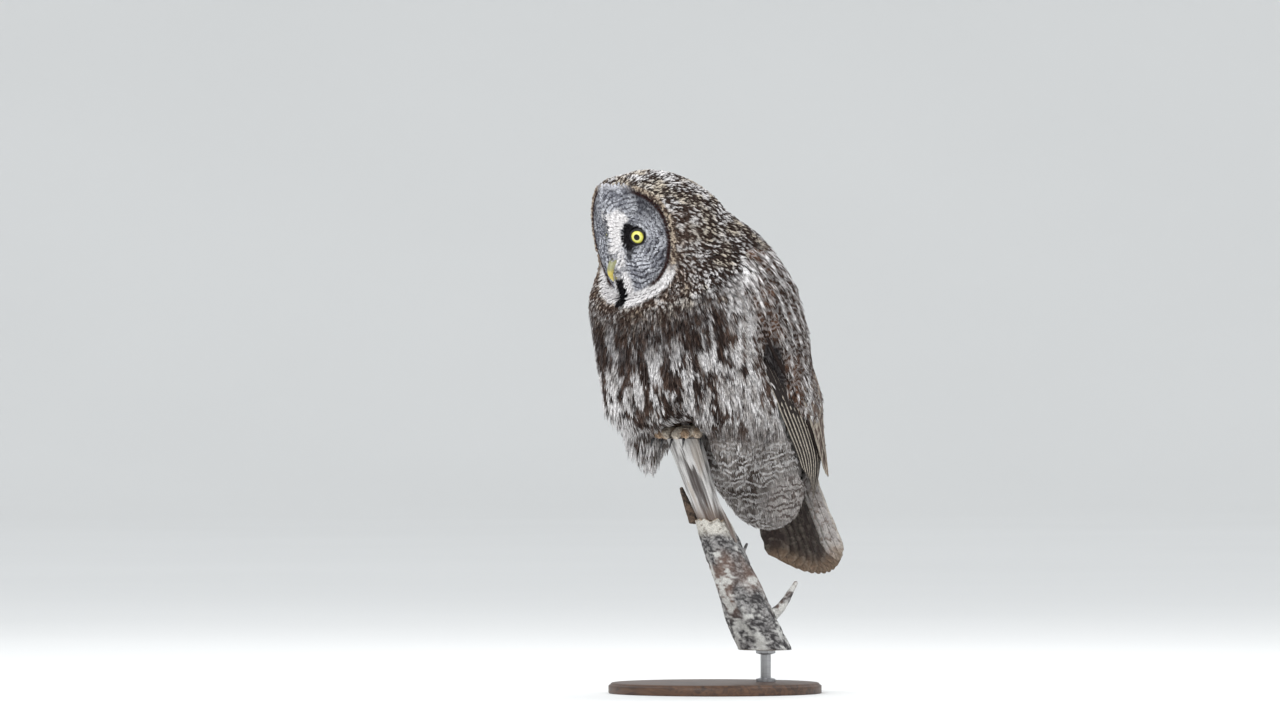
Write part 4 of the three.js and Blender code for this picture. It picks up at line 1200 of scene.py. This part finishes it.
def make_wings(material, under_material):
    for side, sign in SIDES.items():
        grids = {"wing_": Wing("wing_" + side, sign, 9), "primaries_": Wing("primaries_" + side, sign, 5)}
        feathers = []
        for (solid, count, top, end, root, tip, lift,
             half, blunt, thick, camber, base, tip_color, rank, marks) in FEATHERS:
            for i in range(count):
                t = i / (count - 1)
                end_z, root_v, tip_v, out = (first + change * t for first, change in (end, root, tip, lift))
                line, normal = grids[solid].feather(sign, (top, end_z), (root_v, tip_v), out)
                color = shaded(base, tip_color, i + rank)
                feathers.append(dict(line=line, normal=normal, half=half, blunt=blunt, thick=thick,
                                     camber=camber, color=color, marks=(*marks, t)))
        thing = vanes("flight_feathers_" + side, feathers)
        finish(thing, material, "flight_feather", "wing_" + side, "primaries_" + side)

        core = remeshed("wing_core_" + side, ["wing_" + side], 2.2, 3)
        p = places_of(core)
        inset = 1.2 + 1.4 * smooth(0.36, 0.42, p[:, 2])
        p = p - normals_of(core) * inset[:, None] * MM
        tip = p[np.abs(p[:, 2] - 0.350) < 0.004].mean(0)
        p = mix(p, tip, 0.96 * smooth(0.350, 0.343, p[:, 2]))
        set_places(core, p)
        paint(core, mix(DARK * 0.8, BROWN * 1.3, smooth(2.1, 2.5, round_body(p))))
        finish(core, under_material, "flight_feather")


TAIL_ROOT = np.array([0, 0.1126, 0.418])
TAIL_AXES = about_x(math.radians(25.5)) @ about_z(math.radians(9))


def make_tail(material):
    """Twelve feathers side by side, the rightmost of the photograph pale as painted light and the others dark
    as painted shade.
    """
    feathers = []
    t = np.linspace(0, 1, 22)
    for i in range(12):
        share = (i - 5.5) / 5.5
        along = (270 - 34 * share ** 2) * (0.06 + 0.94 * t)
        across = share * (40 + along * 0.045 + 5 * t ** 2)
        arch = 2.4 * (1 - abs(share)) * t - 11 * share ** 2 * (0.8 + 0.2 * t)
        line = join(across, arch, -along) * MM @ TAIL_AXES.T + TAIL_ROOT
        normal = unit(np.tile([share * 0.30, 1.0, 0.0], (22, 1)) @ TAIL_AXES.T)
        # Painted light and shade: the near outer feathers are painted pale, as if lit from the sky. The others
        # are painted very dark, their brown undersides darkened as painted shade.
        pale = float(smooth(0.62, 0.80, share))
        base = mix(DARK * 1.4, PALE * 1.05, pale)
        tip = mix(mix(TAN, BROWN, 0.35), mix(TAN, CREAM, 0.25), pale)
        feathers.append(dict(line=line, normal=normal, half=21, blunt=0.13, thick=1.2, camber=0.06,
                             color=shaded(base, tip, i + 40),
                             marks=(0.12 + 0.6 * pale, 0.10 + 0.3 * pale, abs(share))))
    finish(vanes("tail_feathers", feathers), material, "flight_feather", "tail")


# Eyes, lids, bill, feet and claws

def circle(sides):
    return np.linspace(0, 2 * math.pi, sides + 1)[:-1]


def ring_mesh(name, rings, close_start, close_end):
    """Joins rings of equal size; the ends are closed by fans."""
    rings = np.array(rings)
    count, size = rings.shape[:2]
    places = list(rings.reshape(-1, 3))
    faces = []
    for i in range(count - 1):
        for j in range(size):
            k = (j + 1) % size
            faces.append([i * size + j, i * size + k, (i + 1) * size + k, (i + 1) * size + j])
    if close_start:
        places.append(rings[0].mean(0))
        faces.extend([len(places) - 1, (j + 1) % size, j] for j in range(size))
    if close_end:
        places.append(rings[-1].mean(0))
        base = (count - 1) * size
        faces.extend([len(places) - 1, base + j, base + (j + 1) % size] for j in range(size))
    return new_object(name, places, faces)


def make_eyes():
    material = tinted("eye", 900.0, 0.88, 1.1, 0.09, shine=0.3)
    lid_material = tinted("lid", 700.0, 0.75, 1.25, 0.55)
    angles = circle(64)
    radii = np.concatenate([np.linspace(1.2, 4.2, 5), np.linspace(4.5, 10.4, 18), np.linspace(10.7, 13.9, 8)])
    turns = np.concatenate([np.arcsin(radii / EYE_RADIUS),
                            math.pi - np.arcsin(np.linspace(13.2, 2, 8) / EYE_RADIUS)])
    upper = math.radians(6.5) * np.clip(np.sin(angles), 0, 1) ** 1.5
    for side, sign in SIDES.items():
        level, rise = math.cos(EYE_LIFT), math.sin(EYE_LIFT)
        way = HEAD_AXES @ (sign * math.sin(EYE_SPLAY) * level, -math.cos(EYE_SPLAY) * level, rise)
        right = unit(np.cross(HEAD_AXES[:, 2], way))
        up = np.cross(way, right)
        around = np.cos(angles)[:, None] * right + np.sin(angles)[:, None] * up
        centre = node_middle("eye_" + side)

        def ring(radius, turn):
            turn = np.broadcast_to(turn, angles.shape)[:, None]
            return centre + radius * MM * (np.cos(turn) * way + np.sin(turn) * around)

        thing = ring_mesh("eyeball_" + side, [ring(EYE_RADIUS, turn) for turn in turns], True, True)
        local = unit(places_of(thing) - centre)
        out = np.degrees(np.arccos(np.clip(local @ way, -1, 1)))
        r = np.sin(np.radians(out)) * EYE_RADIUS
        spoke = noise(join(np.arctan2(local @ up, local @ right) * 9, r * 0.4, 0), 1, 61)
        iris = mix(IRIS, IRIS_SPOKE, smooth(0.35, 0.8, spoke) * 0.6)
        iris = mix(iris, IRIS_INNER, smooth(8.5, 5.5, r) * 0.5)
        iris = mix(iris, IRIS_OUTER, smooth(IRIS_RADIUS - 1.3, IRIS_RADIUS, r) * 0.85)
        color = mix(BLACK * 0.25, iris, smooth(PUPIL_RADIUS, PUPIL_RADIUS + 0.25, r))
        color = mix(color, BLACK * 0.4, smooth(IRIS_RADIUS, IRIS_RADIUS + 0.3, r))
        color[out > 80] = BLACK * 0.4
        paint(thing, color)
        finish(thing, material, "eye", "eye_" + side)

        hem = ring(13.6, LID_HEM - upper)
        rings = [hem]
        for t in np.linspace(0, 1, 9):
            lift = 0.25 + 1.5 * math.sin(math.pi * min(t * 1.15, 1)) ** 0.7 - 1.8 * max(t - 0.8, 0)
            rings.append(ring(EYE_RADIUS + lift, blend(LID_RIM - upper, LID_FOOT, t)))
        rings.extend([ring(13.4, LID_FOOT), hem])
        lid = ring_mesh("eyelid_" + side, rings, False, False)
        paint(lid, BLACK)
        finish(lid, lid_material, "face_plumage")


def make_bill():
    material = tinted("bill", 260.0, 0.88, 1.12, 0.4, coat=0.15)
    for name, shade in (("bill_upper", 1.0), ("bill_lower", 0.35)):
        thing = smooth_copy(name + "_horn", [name])
        z = to_head(places_of(thing))[:, 2]
        color = mix(mix(BILL, BILL_ROOT, smooth(-52, -42, z)), BILL_TIP, smooth(-54, -66, z))
        paint(thing, color * shade)
        finish(thing, material, "bill", name)


def make_feet():
    horn = tinted("claw", 300.0, 0.8, 1.2, 0.28, coat=0.4)
    skin = tinted("toe", 500.0, 0.7, 1.3, 0.85)
    for side in SIDES:
        names = [f"claw_{side}_{i}" for i in range(1, 5)]
        claws = smooth_copy("claws_" + side, names)
        paint(claws, CLAW)
        finish(claws, horn, "claw", *names)
        foot = remeshed("foot_skin_" + side, ["foot_" + side], 1.4, 5)
        paint(foot, foot_color(places_of(foot)))
        finish(foot, skin, "toe", "foot_" + side)
        surface = Surface(foot)
        points, normals = surface.nearest(surface.scatter(FOOT_POINTS))
        points = points[normals[:, 2] > -0.6]
        points = thin_out(points, np.full(len(points), FOOT_SPACING * MM))
        lines, normals = walk(surface, points, np.full(len(points), 5.5 * MM), toe_lie)
        look = dict(width=3, depth=0.8, lift=0.8, camber=0.05, fray=0.4, part=0.3)
        finish(tufts("foot_feathers_" + side, lines, normals, 4, 2, fuzz_color, look), skin, "toe")


# Perch

PERCH_TOP = 0.382
PERCH_LONG = 0.318


def along_perch(p):
    """Places in millimetres where Z runs along the grain, which follows the perch's middle line."""
    share = np.clip((PERCH_TOP - p[:, 2]) / PERCH_LONG, 0, 1)
    bend = np.sin(share * math.pi)
    middle = join(share * 0.034 - bend * 0.003, share * 0.140 - bend * 0.005 - 0.066, 0)
    return (p - middle) / MM


def make_wood():
    material = tinted("bare_wood", 1300.0, 0.8, 1.2, 0.88)
    for node in ("perch_wood", "perch_splinter"):
        thing = remeshed(node + "_grain", [node], 1.1, 2)
        p, n = places_of(thing), normals_of(thing)
        w = along_perch(p)
        side = 1 - smooth(0.5, 0.9, np.abs(n[:, 2]))
        fibre = noise(w, (1.7, 1.7, 26), 71)
        groove = noise(w, (4.5, 4.5, 60), 72)
        crack = smooth(0.27, 0.21, noise(w, (8, 8, 80), 74))
        cut = side * (0.6 * (1 - fibre) + 0.9 * (1 - groove) + 1.3 * crack)
        set_places(thing, p - n * cut[:, None] * MM)
        value = 0.5 * fibre + 0.3 * groove + 0.2 * noise(w, (6, 6, 14), 75)
        color = mix(WOOD_DARK, WOOD_PALE, smooth(0.28, 0.62, value))
        color = mix(color, WOOD_WARM, 0.45 * smooth(0.6, 0.8, noise(w, (12, 12, 50), 73)))
        color = mix(color, DARK * 1.5, 0.8 * crack)
        color = mix(color, WOOD_FOOT, 0.75 * smooth(292, 262, w[:, 2] + 16 * (fibre - 0.5)))
        paint(thing, color)
        finish(thing, material, "bare_wood", node)


def make_bark():
    material = tinted("bark", 800.0, 0.6, 1.4, 0.95)
    for node, voxel in (("perch_bark", 1.5), ("perch_flap", 1.1), ("perch_fork", 1.2), ("perch_twig", 0.9)):
        thing = remeshed(node + "_rough", [node], voxel, 2)
        main = node == "perch_bark"
        p, n = places_of(thing), normals_of(thing)
        w = along_perch(p)
        z = w[:, 2]
        end = smooth(0.5, 0.9, np.abs(n[:, 2]))
        flakes = noise(w, (5, 5, 3), 82)
        small = noise(w, (2, 2, 1.6), 83)
        rough = 1.6 * (noise(w, (11, 11, 8), 81) - 0.6) + 1.1 * (flakes - 0.5) + 0.6 * (small - 0.5)
        moved = p + n * ((1 - end) * rough * (1.0 if main else 0.45) * MM)[:, None]
        if main:
            turn = np.arctan2(w[:, 1], w[:, 0])
            ragged = noise(join(np.cos(turn), np.sin(turn), 0), 0.22, 86) - 0.35
            moved[:, 2] += 9 * MM * ragged * smooth(242, 262, z)
        set_places(thing, moved)
        broad = noise(w, (22, 22, 34), 84)
        cloud = noise(w, (10, 10, 13), 87)
        grain = 0.35 * flakes + 0.35 * small + 0.3 * cloud
        color = mix(BARK_DARK, BARK_PALE, smooth(0.34, 0.68, grain))
        red = smooth(235, 190, z) * smooth(100, 140, z) * smooth(0.4, 0.7, broad)
        color = mix(color, BARK_RED, 0.6 * red)
        lichen = 0.45 * broad + 0.35 * cloud + 0.2 * flakes + 0.1 * smooth(160, 80, z)
        color = mix(color, LICHEN, 0.9 * smooth(0.53, 0.68, lichen))
        if main:
            top = mix(RIM_DARK, RIM_PALE, smooth(0.3, 0.62, grain))
            color = mix(color, top, smooth(228, 246, z + 14 * (cloud - 0.5)))
            color = mix(color, CUT_WOOD, smooth(0.6, 0.9, np.abs(n[:, 2])) * 0.8)
        if node == "perch_flap":
            color = mix(FLAP_DARK, FLAP_PALE, smooth(0.35, 0.7, grain))
        paint(thing, color)
        finish(thing, material, "bark", node)


# Stand, floor, light and camera

BASE_PROFILE = [(158.5, 0), (159.6, 0.5), (160, 1.6), (160, 10.6), (159.7, 11.6), (159, 12.4), (157.4, 12.9),
                (156.9, 13.7), (156.2, 14.8), (155, 15.7), (153.4, 16), (100, 16), (40, 16)]
FLOOR_PROFILE = [(3.0, 0.0), (17.0, 0.0),
                 *((17 + 5 * math.sin(t), 5 - 5 * math.cos(t)) for t in np.radians(np.arange(6, 91, 6))),
                 (22.0, 9.0)]
# Name, place, width and power
LIGHTS = (("key", (1.6, -3.4, 2.8), 2.6, 95), ("fill", (3.4, 0.6, 1.3), 2.4, 12),
          ("top", (-0.6, 0.9, 3.4), 2.2, 55))
LIGHT_AIM = np.array([0, 0, 0.45])
SKY = (0.94, 0.97, 1.0, 1)
SKY_STRENGTH = 0.95


def lathe(name, profile, sides, close_end):
    angles = circle(sides)
    rings = [join(r * np.cos(angles), r * np.sin(angles), z) for r, z in profile]
    return ring_mesh(name, rings, True, close_end)


def make_stand():
    s = Shader("base_wood", 0.5, coat=0.08)
    grain = s.noise(1.0, 5.0, s.stretched((9.0, 120.0, 120.0)), 1.2)
    broad = s.noise(1.0, 3.0, s.stretched((2.0, 16.0, 16.0)), 2.0)
    color = s.ramp(grain, (0.3, (0.030, 0.014, 0.008)), (0.55, (0.085, 0.040, 0.020)),
                   (0.75, (0.13, 0.066, 0.034)))
    s.bump(grain, 0.15, 0.0004)
    material = s.done(s.blend("MULTIPLY", 1.0, color, s.grey(broad, 0.3, 0.7, 0.7, 1.2)))
    base = lathe("stand_base_turned", np.array(BASE_PROFILE) * MM, 160, True)
    finish(base, material, "base_wood", "stand_base")

    s = Shader("rod_metal", 0.3, metallic=1.0)
    brushed = s.noise(1.0, 2.0, s.stretched((60.0, 60.0, 3000.0)))
    s.bump(brushed, 0.1, 0.0002)
    metal = s.done(s.ramp(brushed, (0.3, (0.26, 0.26, 0.27)), (0.7, (0.42, 0.42, 0.43))))
    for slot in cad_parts["stand_rod"].material_slots:
        slot.material = metal


def point(thing, place, way):
    thing.location = place
    thing.rotation_mode = "QUATERNION"
    thing.rotation_quaternion = Vector(way).to_track_quat("-Z", "Y")


def make_room():
    s = Shader("floor", 0.8)
    floor = lathe("floor", FLOOR_PROFILE, 96, False)
    floor.data.flip_normals()
    color = s.ramp(s.noise(0.6), (0.3, (0.79, 0.79, 0.78)), (0.7, (0.81, 0.81, 0.80)))
    floor.data.materials.append(s.done(color))

    world = bpy.data.worlds.new("world")
    world.use_nodes = True
    background = world.node_tree.nodes["Background"]
    background.inputs[0].default_value = SKY
    background.inputs[1].default_value = SKY_STRENGTH
    bpy.context.scene.world = world
    for name, place, size, power in LIGHTS:
        light = bpy.data.lights.new(name, "AREA")
        light.shape = "DISK"
        light.size = size
        light.energy = power
        point(link(name, light), place, LIGHT_AIM - place)


def make_camera():
    right = np.array([math.cos(CAMERA_TURN), math.sin(CAMERA_TURN), 0])
    forward = np.array([-math.sin(CAMERA_TURN), math.cos(CAMERA_TURN), 0])
    camera = bpy.data.cameras.new("camera")
    camera.sensor_width = 36
    camera.lens = 36 * CAMERA_DISTANCE / VIEW_WIDTH
    camera.clip_end = 100
    thing = link("camera", camera)
    point(thing, right * CAMERA_RIGHT + (0, 0, CAMERA_HEIGHT) - forward * CAMERA_DISTANCE, forward)
    bpy.context.scene.camera = thing


bpy.context.scene.view_settings.view_transform = "Standard"
make_camera()
make_room()
plumage = plumage_material()
form, skin = make_forms()
paint(skin, skin_color(places_of(skin)))
paint(skin, (0, 0, 0), "Marks")
finish(skin, plumage, "plumage", *FLESH)
make_coat(form, plumage, face_material())
make_wings(flight_material(), plumage)
make_tail(flight_material())
make_eyes()
make_bill()
make_feet()
make_wood()
make_bark()
make_stand()
